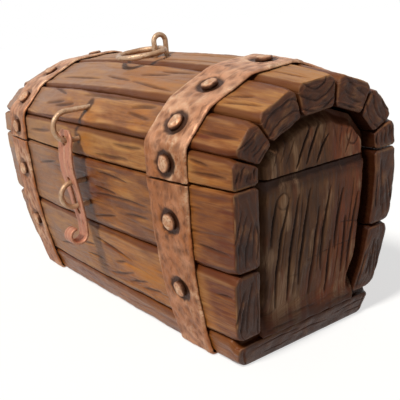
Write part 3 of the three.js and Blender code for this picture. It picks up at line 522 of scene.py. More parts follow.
def wood_material(name, look):
    """Stained wood: soft patches and strokes, warm grooves, rubbed crests and dark lines, with
    painted sheen, painted shade and painted highlights.
    """
    n = Nodes(name)
    grain = n.attribute("grain", vector=True)
    tone = n.attribute("tone")
    crest = n.attribute("crest")
    patch = n.noise(grain, (0.04, 0.16, 0.16), 4.0, 0.6, 0.4)
    warm = n.noise(grain, (0.03, 0.09, 0.09), 3.0, 0.55, 0.3)
    stroke = n.noise(grain, (0.07, 0.7, 0.7), 3.0, 0.6, 0.4)
    fibre = n.noise(grain, (0.08, 2.2, 2.2), 4.0, 0.65, 0.2)
    value = n.weighted((patch, 0.58), (stroke, 0.24), (fibre, 0.18), (tone, 0.1),
                       (n.math("SUBTRACT", crest, 0.5), 0.16))
    colour = n.ramp(value, [(0.38, look["dark"]), (0.5, look["mid"]), (0.61, look["light"])])
    golden = n.math("ADD", n.ramp(warm, [(0.55, 0.0), (0.7, 0.7)]), n.attribute("gold"),
                    clamp=True)
    golden = n.math("MULTIPLY", golden, n.ramp(stroke, [(0.4, 0.4), (0.6, 0.9)]))
    colour = n.mix(golden, colour, look["gold"])
    reds = n.math("ADD", n.ramp(warm, [(0.3, 0.8), (0.44, 0.0)]), n.attribute("red"), clamp=True)
    reds = n.math("MULTIPLY", reds, n.ramp(stroke, [(0.4, 0.95), (0.6, 0.6)]))
    colour = n.mix(reds, colour, look["red"])
    # Painted sheen: a pale veil on the planks. On the panels the same attribute is a dark tint over
    # the strip under the seam.
    haze = n.math("MULTIPLY", n.attribute("haze"), n.ramp(patch, [(0.3, 1.0), (0.7, 0.5)]))
    colour = n.mix(haze, colour, look["haze"])
    valley = n.ramp(crest, [(0.1, 0.32), (0.4, 0.0)])
    colour = n.mix(valley, colour, look["dark"])
    # The end faces are painted darker, as shade.
    end = n.ramp(n.weighted((patch, 0.4), (crest, 0.6)),
                 [(0.3, look["end"]), (0.7, look["end_light"])])
    colour = n.mix(n.attribute("endgrain"), colour, end)
    # Rubbed crests, and along the edges the rim: wear and painted highlight.
    rubbed = n.math("MULTIPLY", n.ramp(crest, [(0.62, 0.0), (0.95, look["rub"])]),
                    n.ramp(fibre, [(0.42, 0.2), (0.6, 1.0)]))
    rubbed = n.math("MAXIMUM", rubbed, n.math("MULTIPLY", n.attribute("rim"), 0.55))
    rubbed = n.math("MULTIPLY", rubbed, n.math("SUBTRACT", 1.0, n.math(
        "MULTIPLY", n.attribute("endgrain"), look["end_dull"])))
    colour = n.mix(rubbed, colour, look["rim"])
    colour = n.mix(n.math("MULTIPLY", n.attribute("groove"), 0.8), colour, look["groove"])
    # carve darkens the carved lines and, as painted shade, the deep joints, the inner faces and the
    # wood round the wire holes.
    colour = n.mix(n.math("MULTIPLY", n.attribute("carve"), 0.92), colour, look["crack"])
    n.put(n.shader.inputs["Base Color"], colour)
    gloss = look["gloss"]
    rough = n.ramp(value, [(0.38, gloss - 0.08), (0.62, gloss + 0.12)])
    n.put(n.shader.inputs["Roughness"], rough)
    n.shader.inputs["Specular IOR Level"].default_value = look["sheen"]
    height = n.weighted((fibre, 0.5), (stroke, 0.5))
    n.put(n.shader.inputs["Normal"], n.bump(height, 0.5, 0.0006))
    return n.material


def metal_material(name, base, bright, patina, worn, rosy, gloss, mark):
    """Old copper or brass: clouds, brown stains in the hollows, and rubbed high places that also
    carry painted highlight.
    """
    n = Nodes(name)
    grain = n.attribute("grain", vector=True)
    cloud = n.noise(grain, (0.09, 0.09, 0.09), 4.0, 0.6)
    spots = n.noise(grain, (0.22, 0.5, 0.4), 4.0, 0.65, 0.5)
    specks = n.noise(grain, (0.9, 0.9, 0.9), 3.0, 0.65)
    # pale is painted light: lighter high up on the lid. Low down it darkens the band.
    cloudy = n.math("ADD", n.ramp(cloud, [(0.4, 0.0), (0.66, 0.9)]), n.attribute("pale"),
                    clamp=True)
    colour = n.mix(cloudy, base, bright)
    colour = n.mix(n.attribute("rosy"), colour, rosy)
    stain = n.math("MULTIPLY", n.ramp(spots, [(0.54, 0.0), (0.66, 1.0)]), mark)
    stain = n.math("MAXIMUM", stain, n.math("MULTIPLY", n.ramp(specks, [(0.62, 0.0), (0.7, 1.0)]),
                                            mark))
    colour = n.mix(stain, colour, patina)
    # Rubbed places: wear, and on the bands' edges and hammered high spots also painted highlight.
    rubbed = n.math("MULTIPLY", n.attribute("worn"), n.ramp(specks, [(0.38, 0.15), (0.55, 1.0)]))
    colour = n.mix(rubbed, colour, worn)
    # recess darkens the dents and the dishes round the rivets, which is patina, and the undersides
    # of the bands, which is painted shade.
    hollow = tuple(0.45 * c for c in patina)
    colour = n.mix(n.attribute("recess"), colour, hollow)
    n.put(n.shader.inputs["Base Color"], colour)
    n.shader.inputs["Metallic"].default_value = 0.4
    n.shader.inputs["Specular IOR Level"].default_value = 0.3
    rough = n.ramp(n.weighted((spots, 0.6), (cloud, 0.4)),
                   [(0.3, gloss - 0.1), (0.7, gloss + 0.14)])
    n.put(n.shader.inputs["Roughness"], rough)
    height = n.weighted((spots, 0.6), (specks, 0.4))
    n.put(n.shader.inputs["Normal"], n.bump(height, 0.6, 0.0009))
    return n.material


def srgb(r, g, b):
    c = np.array((r, g, b)) / 255
    return tuple(np.where(c <= 0.04045, c / 12.92, ((c + 0.055) / 1.055) ** 2.4).tolist())


STAVE_LOOK = wood_material("stave_wood", {
    "dark": srgb(110, 64, 34), "mid": srgb(148, 94, 50), "light": srgb(178, 126, 74),
    "gold": srgb(184, 110, 30), "red": srgb(98, 42, 17), "haze": srgb(152, 117, 94),
    "groove": srgb(90, 42, 16), "crack": srgb(48, 22, 10), "end": srgb(61, 36, 26),
    "end_light": srgb(94, 58, 40), "rim": srgb(204, 154, 104), "end_dull": 0.4,
    "rub": 0.5, "gloss": 0.38, "sheen": 0.16})
# The end panels take a darker copy of the wood: painted shade.
PANEL_LOOK_WITH_PAINTED_SHADE = wood_material("panel_wood", {
    "dark": srgb(74, 48, 32), "mid": srgb(96, 64, 43), "light": srgb(124, 90, 63),
    "gold": srgb(110, 78, 50), "red": srgb(124, 65, 41), "haze": srgb(30, 21, 21),
    "groove": srgb(47, 22, 12), "crack": srgb(22, 11, 7), "end": srgb(70, 44, 32),
    "end_light": srgb(84, 54, 40), "rim": srgb(160, 128, 100), "end_dull": 0.0,
    "rub": 0.9, "gloss": 0.48, "sheen": 0.12})
COPPER_LOOK = metal_material(
    "copper", srgb(168, 104, 60), srgb(206, 150, 114), srgb(74, 36, 17), srgb(238, 206, 170),
    srgb(196, 128, 104), 0.46, 0.5)
BRASS_LOOK = metal_material(
    "wire_brass", srgb(160, 120, 88), srgb(204, 164, 128), srgb(76, 50, 32), srgb(226, 198, 168),
    srgb(204, 164, 128), 0.36, 0.4)


def front_stain_and_sheen(strength):
    """Where weather and handling changed the colour: golden middle, red right. A pale painted sheen
    greys the left and the top.
    """
    def stain(points):
        x, y, z = points.T
        drift = noise(points / 22.0, 91)
        # Painted sheen: a pale veil over the left, the upper lid and the crown.
        haze = smooth((-8 - x + 14 * drift) / 40) * lerp(0.5, 0.95, smooth((z - 55) / 45))
        over = smooth((z - BASE_HEIGHT - 16 + 4 * drift) / 12) * (1 - smooth((x - 40) / 50))
        haze = np.maximum(haze, 0.55 * over)
        crown = 97 + 9 * smooth((x - 20) / 30)
        haze = np.maximum(haze, 0.8 * smooth((z - crown + 3 * drift) / 6))
        haze *= smooth((z - 11) / 8)
        gold = smooth((x + 6) / 12) * (1 - smooth((x - 40) / 20)) + 0.8 * smooth((x - 74) / 5)
        gold *= np.clip(0.25 + 0.9 * drift, 0, 1)
        gold = np.maximum(gold, 0.9 * (1 - smooth((z - 9) / 5)))
        red = smooth((x - 76) / 6) * 0.95 * (1 - smooth((z - BASE_HEIGHT - 6) / 22))
        red *= np.where(z > STAVE_SPLIT, 0.5, 1)
        red = np.maximum(red, 0.45 * (1 - smooth((z - 11) / 3)))
        red = np.maximum(red, 0.7 * np.exp(-((x - 4) / 11) ** 2) * (np.abs(z - 66) < 9))
        return haze * strength, gold * strength, red * strength
    return stain


# Base planks

FRONT_STAIN_AND_SHEEN, BACK_STAIN_AND_SHEEN, BOARD_STAIN_AND_SHEEN = 1.0, 0.6, 0.7
WALLS = {"front": -1, "back": 1}
COURSES = {
    "lower": (BOARD_HEIGHT + FIT, STAVE_SPLIT - FIT / 2),
    "upper": (STAVE_SPLIT + FIT / 2, BASE_HEIGHT - SEAM_GAP / 2),
}


def wall_to_world(sign, low, half):
    def to_world(q):
        u, z = q[:, 0] / half - 1, low + q[:, 1]
        return np.stack([u * half_length(z), sign * (face(u, z) - q[:, 2]), z], axis=1)
    return to_world


# Worn radius of an edge, and whether a groove opens along it
SEAM_WEAR, GROOVE_WEAR, END_WEAR = (0.8, 0.0), (0.9, 1.0), 0.9
for w, (wall, sign) in enumerate(WALLS.items()):
    for k, (course, (low, high)) in enumerate(COURSES.items()):
        half = float(half_length((low + high) / 2))
        plank(
            f"{wall}_plank_{course}", "base", (2 * half, high - low, STAVE),
            wall_to_world(sign, low, half), 100 + 10 * w + k,
            (GROOVE_WEAR, SEAM_WEAR if course == "upper" else GROOVE_WEAR, END_WEAR),
            f"{wall}_stave_{course}",
            lines=main_lines(WALL_LINES[wall, course], half, half, high - low, LINE_REACH,
                             LINE_DEPTH),
            knots=[(60, 18, 9, 3.0)] if course == "lower" else (),
            tone=(0.1, -0.5)[k], stain=front_stain_and_sheen(FRONT_STAIN_AND_SHEEN if wall == "front" else BACK_STAIN_AND_SHEEN))


# Bottom board


def board_to_world(q):
    x, c, d = q.T
    half0 = float(half_length(0))
    u = x / half0 - 1
    slope = BOARD_SLOPE * smooth((np.abs(u) * half0 - half0 + END_RECESS + 1.5) / 3)
    z = c * (1 - slope / BOARD_HEIGHT)
    for _, foot in BANDS.values():
        at = u * half0
        inside = smooth((at - foot[0] + 0.8) / 0.5) * smooth((foot[1] + 0.8 - at) / 0.5)
        z = z + inside * (BAND + FIT) * (1 - c / BOARD_HEIGHT)
    across = 2 * d / (2 * face(0, 0)) - 1
    return np.stack([u * half_length(z), across * face(u, z), z], axis=1)


half = float(half_length(0))
plank("bottom_board_carved", "base", (2 * half, BOARD_HEIGHT, 2 * float(face(0, 0))),
      board_to_world, 140, ((2.2, 0.0), (1.0, 0.5), 1.0), "bottom_board", tone=-1.2,
      stain=front_stain_and_sheen(BOARD_STAIN_AND_SHEEN), end_cracks=BOARD_END_LINES, depth_step=BOARD_COARSE)


# Lid planks


def inset(corners, distance):
    d = np.diff(corners, axis=0)
    d /= np.linalg.norm(d, axis=1, keepdims=True)
    normals = np.stack([d[:, 1], -d[:, 0]], axis=1)
    m = normals[:-1] + normals[1:]
    m /= np.linalg.norm(m, axis=1, keepdims=True)
    k = distance / (m * normals[1:]).sum(1, keepdims=True)
    out = corners.copy()
    out[1:-1] += m * k
    out[[0, -1], 0] -= np.sign(corners[[0, -1], 0]) * distance
    return out


INNER_ARCH = inset(ARCH, STAVE)


def lid_to_world(i):
    a, b = ARCH[i], ARCH[i + 1]
    c, d = INNER_ARCH[i], INNER_ARCH[i + 1]
    width = float(np.linalg.norm(b - a))
    gap = FIT / 2 / width
    lift = np.array((0, SEAM_GAP / 2))
    outer = [lerp(a, b, gap), lerp(a, b, 1 - gap)]
    inner = [lerp(c, d, gap), lerp(c, d, 1 - gap)]
    if i == 0:
        outer[0], inner[0] = outer[0] + lift, inner[0] + lift
    if i == len(ARCH) - 2:
        outer[1], inner[1] = outer[1] + lift, inner[1] + lift
    span = float(np.linalg.norm(outer[1] - outer[0]))

    def to_world(q):
        f = (q[:, 1] / span)[:, None]
        o, n = lerp(outer[0], outer[1], f), lerp(inner[0], inner[1], f)
        at = lerp(o, n, (q[:, 2] / STAVE)[:, None])
        u = q[:, 0] / (LENGTH / 2) - 1
        y, z = lid_point(at[:, 0], at[:, 1], u)
        return np.stack([u * LENGTH / 2, y, BASE_HEIGHT + z], axis=1)
    return to_world, span


# Each lid plank has its own tone. The crown plank is raised most: painted light from above.
LID_TONES = (0.7, -0.1, 0.6, 1.4, 0.4, 0.1, 0.0)
last = len(LID_TONES) - 1
LID_RINGS = {2: (0.5, 30.0, 4.6), 3: (0.45, -2.5, 4.4), 5: (0.6, -5.0, 4.8)}
for i, tone in enumerate(LID_TONES):
    to_world, span = lid_to_world(i)
    plank(f"lid_plank_{i + 1}", "lid", (LENGTH, span, STAVE), to_world, 200 + i,
          (SEAM_WEAR if i == 0 else GROOVE_WEAR, SEAM_WEAR if i == last else GROOVE_WEAR, END_WEAR),
          f"lid_stave_{i + 1}",
          lines=main_lines(LID_LINES[i], LENGTH / 2, LENGTH / 2, span, LINE_REACH, LINE_DEPTH),
          knots=[(52, 12, 8, 3.0)] if i == 1 else (), tone=tone,
          stain=front_stain_and_sheen(FRONT_STAIN_AND_SHEEN if i < 4 else BACK_STAIN_AND_SHEEN), rings=LID_RINGS.get(i))


# End panels: a carved field in a sunk margin, over a foot that flares out

FIELD_RISE, FIELD_IN, MOAT, MOAT_IN = 1.9, 5.2, 3.0, 1.2
FLARE_RECESS, FLARE_HEIGHT = 0.5, 8.0
# Cracks along the flare: y from and to, height, slope, bend, half width, depth
FLARE_LINES = [(-17, 5, 16.6, -0.05, 0.7, 0.45, 0.7), (-24, -8, 14.2, 0.04, 0.5, 0.4, 0.6),
               (4, 20, 17.2, 0.06, 0.5, 0.4, 0.5), (9, 26, 14.6, -0.04, 0.4, 0.35, 0.5)]


def to_polyline(y, z, corners):
    best = np.full(y.shape, 99.0)
    for (y0, z0), (y1, z1) in zip(corners[:-1], corners[1:]):
        dy, dz = y1 - y0, z1 - z0
        t = np.clip(((y - y0) * dy + (z - z0) * dz) / (dy * dy + dz * dz), 0, 1)
        best = np.minimum(best, np.hypot(y - y0 - t * dy, z - z0 - t * dz))
    return best


# Cracks across the grain: y from and to, height, slope, bend, half width, depth
CROSS_LINES = {
    "base": [(-4, 26, 38.6, 0.06, 0.6, 0.32, 0.35), (12, 28, 47.5, -0.24, 0.3, 0.4, 0.45),
             (-14, -6, 33, -0.1, 0.3, 0.3, 0.25)],
    "lid": [(12, 22, 89, -0.25, 0.4, 0.35, 0.3)],
}
PANEL_KNOTS = {"base": (-17.2, 65.6, 2.6), "lid": (19.5, 83.5, 3.2)}


def panel_knot(y, z, at_y, at_z, radius):
    ring = np.hypot(y - at_y, (z - at_z) * 0.85)
    eye = np.clip(1 - np.abs(ring - radius) / 0.6, 0, 1)
    return 0.4 * eye, 0.5 * eye


def panel(name, body, node, sign, shape, lines, seed, reach):
    """A panel across the YZ plane. shape turns shares of it into y, z and what lies there."""
    rows, columns = reach
    places, faces = lattice(rows, columns, 5)
    v, w, k = places[:, 0] / rows, places[:, 1] / columns, places[:, 2] / 5
    y, z, border, flare, shallow = shape(v, w)
    front = k == 0
    margin = border + 0.8 * noise(xyz(y / 8, z / 8, 0.0), seed)
    rise = smooth((margin - MOAT_IN) / (FIELD_IN - MOAT_IN))
    cut, dark = cracks(z, y, lines, seed)
    for other, other_dark in (cracks(y, z, CROSS_LINES[body], seed + 40),
                              panel_knot(y, z, *PANEL_KNOTS[body])):
        cut, dark = np.maximum(cut, other), np.maximum(dark, other_dark)
    wave = 0.3 * noise(xyz(z / 15, y / 5.5, 5.0), seed + 3)
    wave += 0.16 * noise(xyz(z / 9, y / 2.1, 7.0), seed + 6)
    scratch = 0.2 * np.abs(noise(xyz(z / 10, y / 0.8, 3.0), seed + 2))
    nick = 0.1 * noise(xyz(z / 2.6, y / 1.8, 9.0), seed + 4)
    cut = cut * (1 - flare)
    sunk = MOAT - shallow * (MOAT + 0.4)
    relief = lerp(sunk, -FIELD_RISE, rise) + rise * (cut + scratch + wave + 0.15) + nick
    foot_cut, foot_dark = cracks(y, z, FLARE_LINES, seed + 50)
    foot = FLARE_RECESS - END_RECESS + nick + 0.5 * wave + foot_cut
    relief = lerp(relief, foot, flare)
    dark = np.where(body == "base", lerp(dark * rise, foot_dark, flare), dark * rise)
    relief = np.maximum(relief, -FIELD_RISE - flare * 3)
    depth = np.where(front, relief, lerp(MOAT + 0.6, END_PANEL, (k - 0.2) / 0.8))
    points = to_panel(body, sign, y, z, depth, v)
    grain = np.stack([lerp(z, y, flare), lerp(y, z, flare), depth], axis=1)
    grain += np.array((seed * 7.0, seed * 3.0, 0))
    # The groove colour darkens the sunk margin and the faces behind the panel as painted shade. It
    # also darkens the flare and the strip under the seam.
    groove = np.clip(1 - rise - flare - 0.6 * shallow, 0, 1) * 0.8 + flare + 0.5 * shallow
    groove = np.where(front, groove, 0.8)
    drift = noise(xyz(y / 12, z / 16, 0.0), seed + 5)
    red = flare + 0.8 * smooth((y - 2 + 6 * drift) / 14)
    none = np.zeros(len(y))
    crest = 0.5 - 1.6 * (wave + scratch - 0.08 + nick) - 0.6 * cut
    # The seam tint on the panels darkens the strip under the seam.
    piece(name, body, "panel_wood", PANEL_LOOK_WITH_PAINTED_SHADE, points, faces, replaces=[node], grain=grain,
          carve=np.where(front, dark, 0), groove=groove, red=np.where(front, red, 0),
          haze=np.where(front, 0.9 * shallow, 0), gold=none, endgrain=none, rim=none, tone=none,
          crest=np.clip(crest, 0, 1))


def to_panel(body, sign, y, z, depth, v):
    if body == "lid":
        return np.stack([sign * (LENGTH / 2 - END_RECESS - depth), y, z], axis=1)
    x = half_length(z) - END_RECESS - depth
    # The foot follows the sloping top of the bottom board.
    dip = BOARD_SLOPE * np.clip(-depth / END_RECESS, 0, 1) * np.clip(1 - v * 7, 0, 1)
    return np.stack([sign * x, y, z - dip], axis=1)


def base_panel_shape(v, w):
    low, high = BOARD_HEIGHT + FIT, BASE_HEIGHT - SEAM_GAP / 2
    z = lerp(low, high, v)
    reach = face(1.0, z) - STAVE - PANEL_FIT
    y = (2 * w - 1) * reach
    valley = low + FLARE_HEIGHT
    border = np.minimum(reach - np.abs(y), (high - z) * 1.25)
    flare = smooth((valley + 1 - z + 0.6 * noise(xyz(y / 7, 0.0, 0.0), 77)) / FLARE_HEIGHT)
    # The strip under the seam is only a little sunk.
    shallow = smooth(1.4 - (high - z) / 5) * smooth((reach - np.abs(y)) / 5)
    return y, z, border, flare, shallow


PANEL_ARCH = inset(ARCH, STAVE + PANEL_FIT)


def lid_panel_shape(v, w):
    y = lerp(PANEL_ARCH[0, 0], PANEL_ARCH[-1, 0], w)
    top = np.interp(y, PANEL_ARCH[:, 0], PANEL_ARCH[:, 1])
    top = np.where(w == 0, PANEL_ARCH[1, 1], np.where(w == 1, PANEL_ARCH[-2, 1], top))
    z = lerp(SEAM_GAP / 2, top, v)
    # The field runs down to the seam.
    border = to_polyline(y, z, PANEL_ARCH)
    none = np.zeros(len(y))
    return y, BASE_HEIGHT + z, border, none, none


# Lesser lines: height from and to, y, slope, bend, half width, depth
FINE_BASE_LINES = [
    (36, 62, -16.5, 0.06, 0.3, 0.4, 0.35), (24, 50, -9.5, 0.05, 0.3, 0.4, 0.3),
    (40, 68, -8.5, 0.08, 0.3, 0.45, 0.35), (30, 56, 3.0, 0.03, -0.3, 0.45, 0.4),
    (36, 66, 11.0, 0.05, 0.4, 0.45, 0.4), (22, 44, 13.5, 0.03, 0.3, 0.45, 0.4),
    (44, 66, 19.0, 0.08, 0.3, 0.5, 0.5), (24, 40, 19.5, -0.04, 0.2, 0.4, 0.4),
    (50, 60, -18.5, 0.2, 0.8, 0.5, 0.4),
]
FINE_LID_LINES = [
    (80, 93, -15, 0.5, 0.2, 0.5, 0.4), (78, 91, -19, 0.5, 0.2, 0.5, 0.4),
    (79, 88, -13, 0.5, 0.2, 0.4, 0.4), (83, 93, -17.5, 0.55, -0.3, 0.4, 0.3),
    (84, 97, 5.5, 0.2, 0.3, 0.45, 0.35), (80, 92, 10, -0.25, 0.3, 0.45, 0.3),
    (79, 94, 14, 0.3, -0.3, 0.45, 0.35), (82, 93, 19, -0.2, 0.2, 0.45, 0.3),
    (77, 86, 17, 0.5, 0.2, 0.6, 0.5), (77, 90, 3, 0.4, 0.2, 0.4, 0.4),
]
PANELS = {
    "base": (base_panel_shape, (128, 176), main_lines(
        BASE_PANEL_LINES, 0, BASE_HEIGHT, DEPTH / 2, PANEL_LINE / 2, PANEL_LINE_DEPTH)
        + FINE_BASE_LINES),
    "lid": (lid_panel_shape, (70, 176), main_lines(
        LID_PANEL_LINES, BASE_HEIGHT, CROWN_TOP, DEPTH / 2, PANEL_LINE / 2, PANEL_LINE_DEPTH)
        + FINE_LID_LINES),
}
for side, sign in (("left", -1), ("right", 1)):
    for body, node in (("base", f"end_panel_{side}"), ("lid", f"lid_end_panel_{side}")):
        shape, reach, lines = PANELS[body]
        panel(f"{node}_carved", body, node, sign, shape, lines, 300 + len(body) * 3 + sign, reach)

# Rivets: the same places as in the part

RIVET_HEAD, RIVET_RISE, RIVET_SINK, DIMPLE = 3.5, 0.6, 1.1, 0.95
RING = 2.6  # width of the dark dish punched round a head
UPPER_SHARE, LOWER_SHARE = 0.49, 0.556
ARCH_SHARES = (0.45, 0.5, 0.5, 0.72, 0.5, 0.5, 0.55)
BAND_TOP = FIT + BAND + FIT


def band_edges(side, z):
    seam, foot = BANDS[side]
    t = drop(z)
    return lerp(seam[0], foot[0], t), lerp(seam[1], foot[1], t)


def arch_over(x, rise):
    y, z = lid_point(ARCH[:, 0], ARCH[:, 1], x / (LENGTH / 2))
    return inset(np.stack([y, z], axis=1), -rise)


def face_over(x, z):
    return face(x / half_length(z), z)


def rivet_seats(side):
    """(node, body, seat, direction) of each rivet on one band."""
    x = sum(BANDS[side][0]) / 2
    corners = arch_over(x, BAND_TOP)
    for i, share in enumerate(ARCH_SHARES):
        (y0, z0), (y1, z1) = corners[i], corners[i + 1]
        normal = np.array((0, z0 - z1, y1 - y0))
        seat = np.array((x, lerp(y0, y1, share), BASE_HEIGHT + lerp(z0, z1, share)))
        yield f"lid_rivet_{side}_{i + 1}", "lid", seat, normal / np.linalg.norm(normal)
    for wall, sign in WALLS.items():
        for i, (course, share) in enumerate((("upper", UPPER_SHARE), ("lower", LOWER_SHARE))):
            z = lerp(*COURSES[course], share)
            across = sum(band_edges(side, z)) / 2
            slope = face_over(across, z + 1) - face_over(across, z - 1)
            normal = np.array((0, 2 * sign, -slope))
            seat = np.array((across, sign * (face_over(across, z) + BAND_TOP), z))
            yield f"base_rivet_{side}_{wall}_{i + 1}", "base", seat, normal / np.linalg.norm(normal)


def run_along(path):
    """Length run at each point of a path."""
    steps = np.linalg.norm(np.diff(path, axis=0), axis=1)
    return np.concatenate([[0], np.cumsum(steps)])


def frame_of(normal):
    """Two directions square to a normal."""
    a = np.cross(normal, (1.0, 0, 0) if abs(normal[0]) < 0.9 else (0, 1.0, 0))
    a /= np.linalg.norm(a)
    return a, np.cross(normal, a)


def dome(name, body, node, seat, normal, radius, height, sink, look, slot, seed):
    """A hand-hammered domed head with its rim sunk below its seat."""
    rng = np.random.default_rng(seed)
    rings, turns = 16, 44
    profile = [(0.0, height)]
    for k in range(1, rings + 1):
        t = k / rings
        profile.append((radius * t ** 0.8, height * (1 - (t ** 0.8) ** 4.5) ** 0.7))
    profile += [(radius, -sink * 0.5), (radius, -sink), (radius * 0.5, -sink), (0.0, -sink)]
    a, b = frame_of(normal)
    tilt = rng.normal(0, 0.04, 2)
    lobes = [(k, w, rng.uniform(0, 6)) for k, w in ((2, 0.03), (3, 0.025), (5, 0.02))]
    angles = np.arange(turns) * 2 * np.pi / turns
    points, faces = [], []
    for r, h in profile:
        wide = r * (0.97 + sum(w * np.sin(k * angles + turn) for k, w, turn in lobes))
        px, py = wide * np.cos(angles), wide * np.sin(angles)
        ring = np.stack([px, py, np.full(turns, h)], axis=1)
        if h > 0:
            ring[:, 2] += tilt[0] * px + tilt[1] * py
        points.append(ring)
    local = np.concatenate(points)
    bump = 0.26 * noise(local / 1.7 + seed, seed) + 0.12 * noise(local / 0.7 + seed, seed + 1)
    local[:, 2] += np.where(local[:, 2] > 0, bump, 0)
    count = len(profile)
    local[:turns] = local[:turns].mean(0)
    local[(count - 1) * turns:] = local[(count - 1) * turns:].mean(0)
    for i in range(count - 1):
        for j in range(turns):
            k = (j + 1) % turns
            faces.append((i * turns + j, i * turns + k, (i + 1) * turns + k, (i + 1) * turns + j))
    out = seat + local[:, :1] * a + local[:, 1:2] * b + local[:, 2:] * normal
    away = np.hypot(local[:, 0], local[:, 1]) / radius
    recess = np.clip((away - 0.8) / 0.2, 0, 0.9)
    worn = np.clip(0.45 + 1.6 * bump, 0, 0.9) * (1 - smooth((away - 0.7) / 0.25))
    weld(piece(name, body, slot, look, out, faces, replaces=[node],
               grain=local + seed * 5.0, recess=recess, worn=worn))


def weld(made):
    bm = bmesh.new()
    bm.from_mesh(made.data)
    bmesh.ops.remove_doubles(bm, verts=bm.verts, dist=1e-6)
    bmesh.ops.recalc_face_normals(bm, faces=bm.faces)
    bm.to_mesh(made.data)
    bm.free()


# Bands

BAND_COLUMNS = 51
CORNER = 1.6  # at the foot of a wall


def strip(name, body, node, outer, inner, side, seed, seats):
    """A hammered strip of copper between two grids of points, (along, across, 3)."""
    rows, columns = outer.shape[0] - 1, outer.shape[1] - 1
    places, faces = lattice(rows, columns, 3)
    i, j, k = places.T
    o, n = outer[i, j], inner[i, j]
    step = o - n
    run = run_along(outer[:, columns // 2])[i]
    across = np.linalg.norm(o - outer[i, 0], axis=1)
    width = np.linalg.norm(outer[i, -1] - outer[i, 0], axis=1)
    spot = xyz(run / 5.2, across / 4.6, 0.0)
    hammer = 0.34 * (1 - np.clip(cells(spot, seed) * 1.5, 0, 1)) ** 1.5
    hammer += 0.16 * (noise(xyz(run / 3.0, across / 2.6, 1.0), seed + 1) + 0.6)
    hammer += 0.06 * (noise(xyz(run / 1.1, across / 1.1, 2.0), seed + 2) + 1)
    near = np.minimum(across, width - across)
    edge = np.clip(1 - near / 0.9, 0, 1)
    sink = hammer * 0.62 + 0.5 * edge ** 2
    recess = np.clip(hammer * 1.6 - 0.3, 0, 0.45)
    # Hammered high spots and the edges are lightened: partly rubbing wear, partly painted
    # highlight.
    worn = np.clip(0.75 - 2.4 * hammer, 0, 0.6) + 0.5 * np.clip(1 - near / 1.6, 0, 1)
    worn *= np.clip(0.3 + noise(xyz(run / 11, across / 8, 3.0), seed + 5), 0, 1)
    for seat, normal in seats:
        # The dish is a little longer along the chest.
        apart = o - seat
        flat = apart - (apart @ normal)[:, None] * normal
        away = np.linalg.norm(flat * (0.9, 1, 1), axis=1)
        away = np.where(np.linalg.norm(apart, axis=1) < 12, away, 99)
        ring = 1 - smooth((away - RIVET_HEAD - 0.7) / RING)
        sink = np.maximum(sink, DIMPLE * ring)
        ragged = away + 0.5 * noise(xyz(run / 1.5, across / 1.5, 4.0), seed + 6)
        stain = 1 - smooth((ragged - RIVET_HEAD - 1.3) / 1.3)
        recess = np.maximum(recess, (0.95 if side == "right" else 0.6) * stain)
    thick = np.linalg.norm(step, axis=1)
    keep = np.clip(1 - sink / thick, 0.22, 1)
    level = lerp(keep, 0.0, k / 3)
    points = n + step * level[:, None]
    # Hand-cut edges wander a little.
    wander = 0.45 * line_noise(run / 9 + np.where(across > width / 2, 40, 0), seed + 3)
    wander += 0.2 * line_noise(run / 2.6 + np.where(across > width / 2, 70, 0), seed + 4)
    pull = (1 - smooth(near / 4)) * wander
    along_x = np.where(across > width / 2, 1.0, -1.0)
    points[:, 0] += np.where(near < 4, along_x * (pull - 0.25 * (1 - smooth(near / 4))), 0)
    # pale paints the band lighter high on the lid, as light from above, and darker low down.
    piece(name, body, "copper", COPPER_LOOK, points, faces, replaces=[node],
          grain=np.stack([run, across, np.zeros_like(run)], axis=1) + seed * 11.0,
          # The underside and the lower sides of the band are darkened: painted shade.
          recess=np.where(k == 3, 0.6, recess), worn=worn,
          pale=0.6 * smooth((o[:, 2] - 85) / 12) - 0.35 * (1 - smooth((o[:, 2] - 81) / 8)))


def smoothed(grid, sigma):
    """Rounds the corners of paths that run along the first axis. Their ends stay."""
    reach = int(3 * sigma)
    kernel = np.exp(-0.5 * (np.arange(-reach, reach + 1) / sigma) ** 2)
    kernel /= kernel.sum()
    start = 2 * grid[:1] - grid[reach:0:-1]
    finish = 2 * grid[-1:] - grid[-2:-reach - 2:-1]
    padded = np.concatenate([start, grid, finish])
    out = sum(k * padded[i:i + len(grid)] for i, k in enumerate(kernel))
    out[0], out[-1] = grid[0], grid[-1]
    return out


def lid_band_grid(side, rise):
    lines = []
    for f in np.linspace(0, 1, BAND_COLUMNS):
        x = lerp(*BANDS[side][0], f)
        corners = arch_over(x, rise)
        corners[[0, -1], 1] = SEAM_GAP / 2
        path = []
        for a, b in zip(corners[:-1], corners[1:]):
            path.append(lerp(a, b, np.linspace(0, 1, 36)[:-1, None]))
        path = np.concatenate(path + [corners[-1:]])
        lines.append(np.column_stack([np.full(len(path), x), path[:, 0],
                                      BASE_HEIGHT + path[:, 1]]))
    return smoothed(np.stack(lines, axis=1), 3.5)


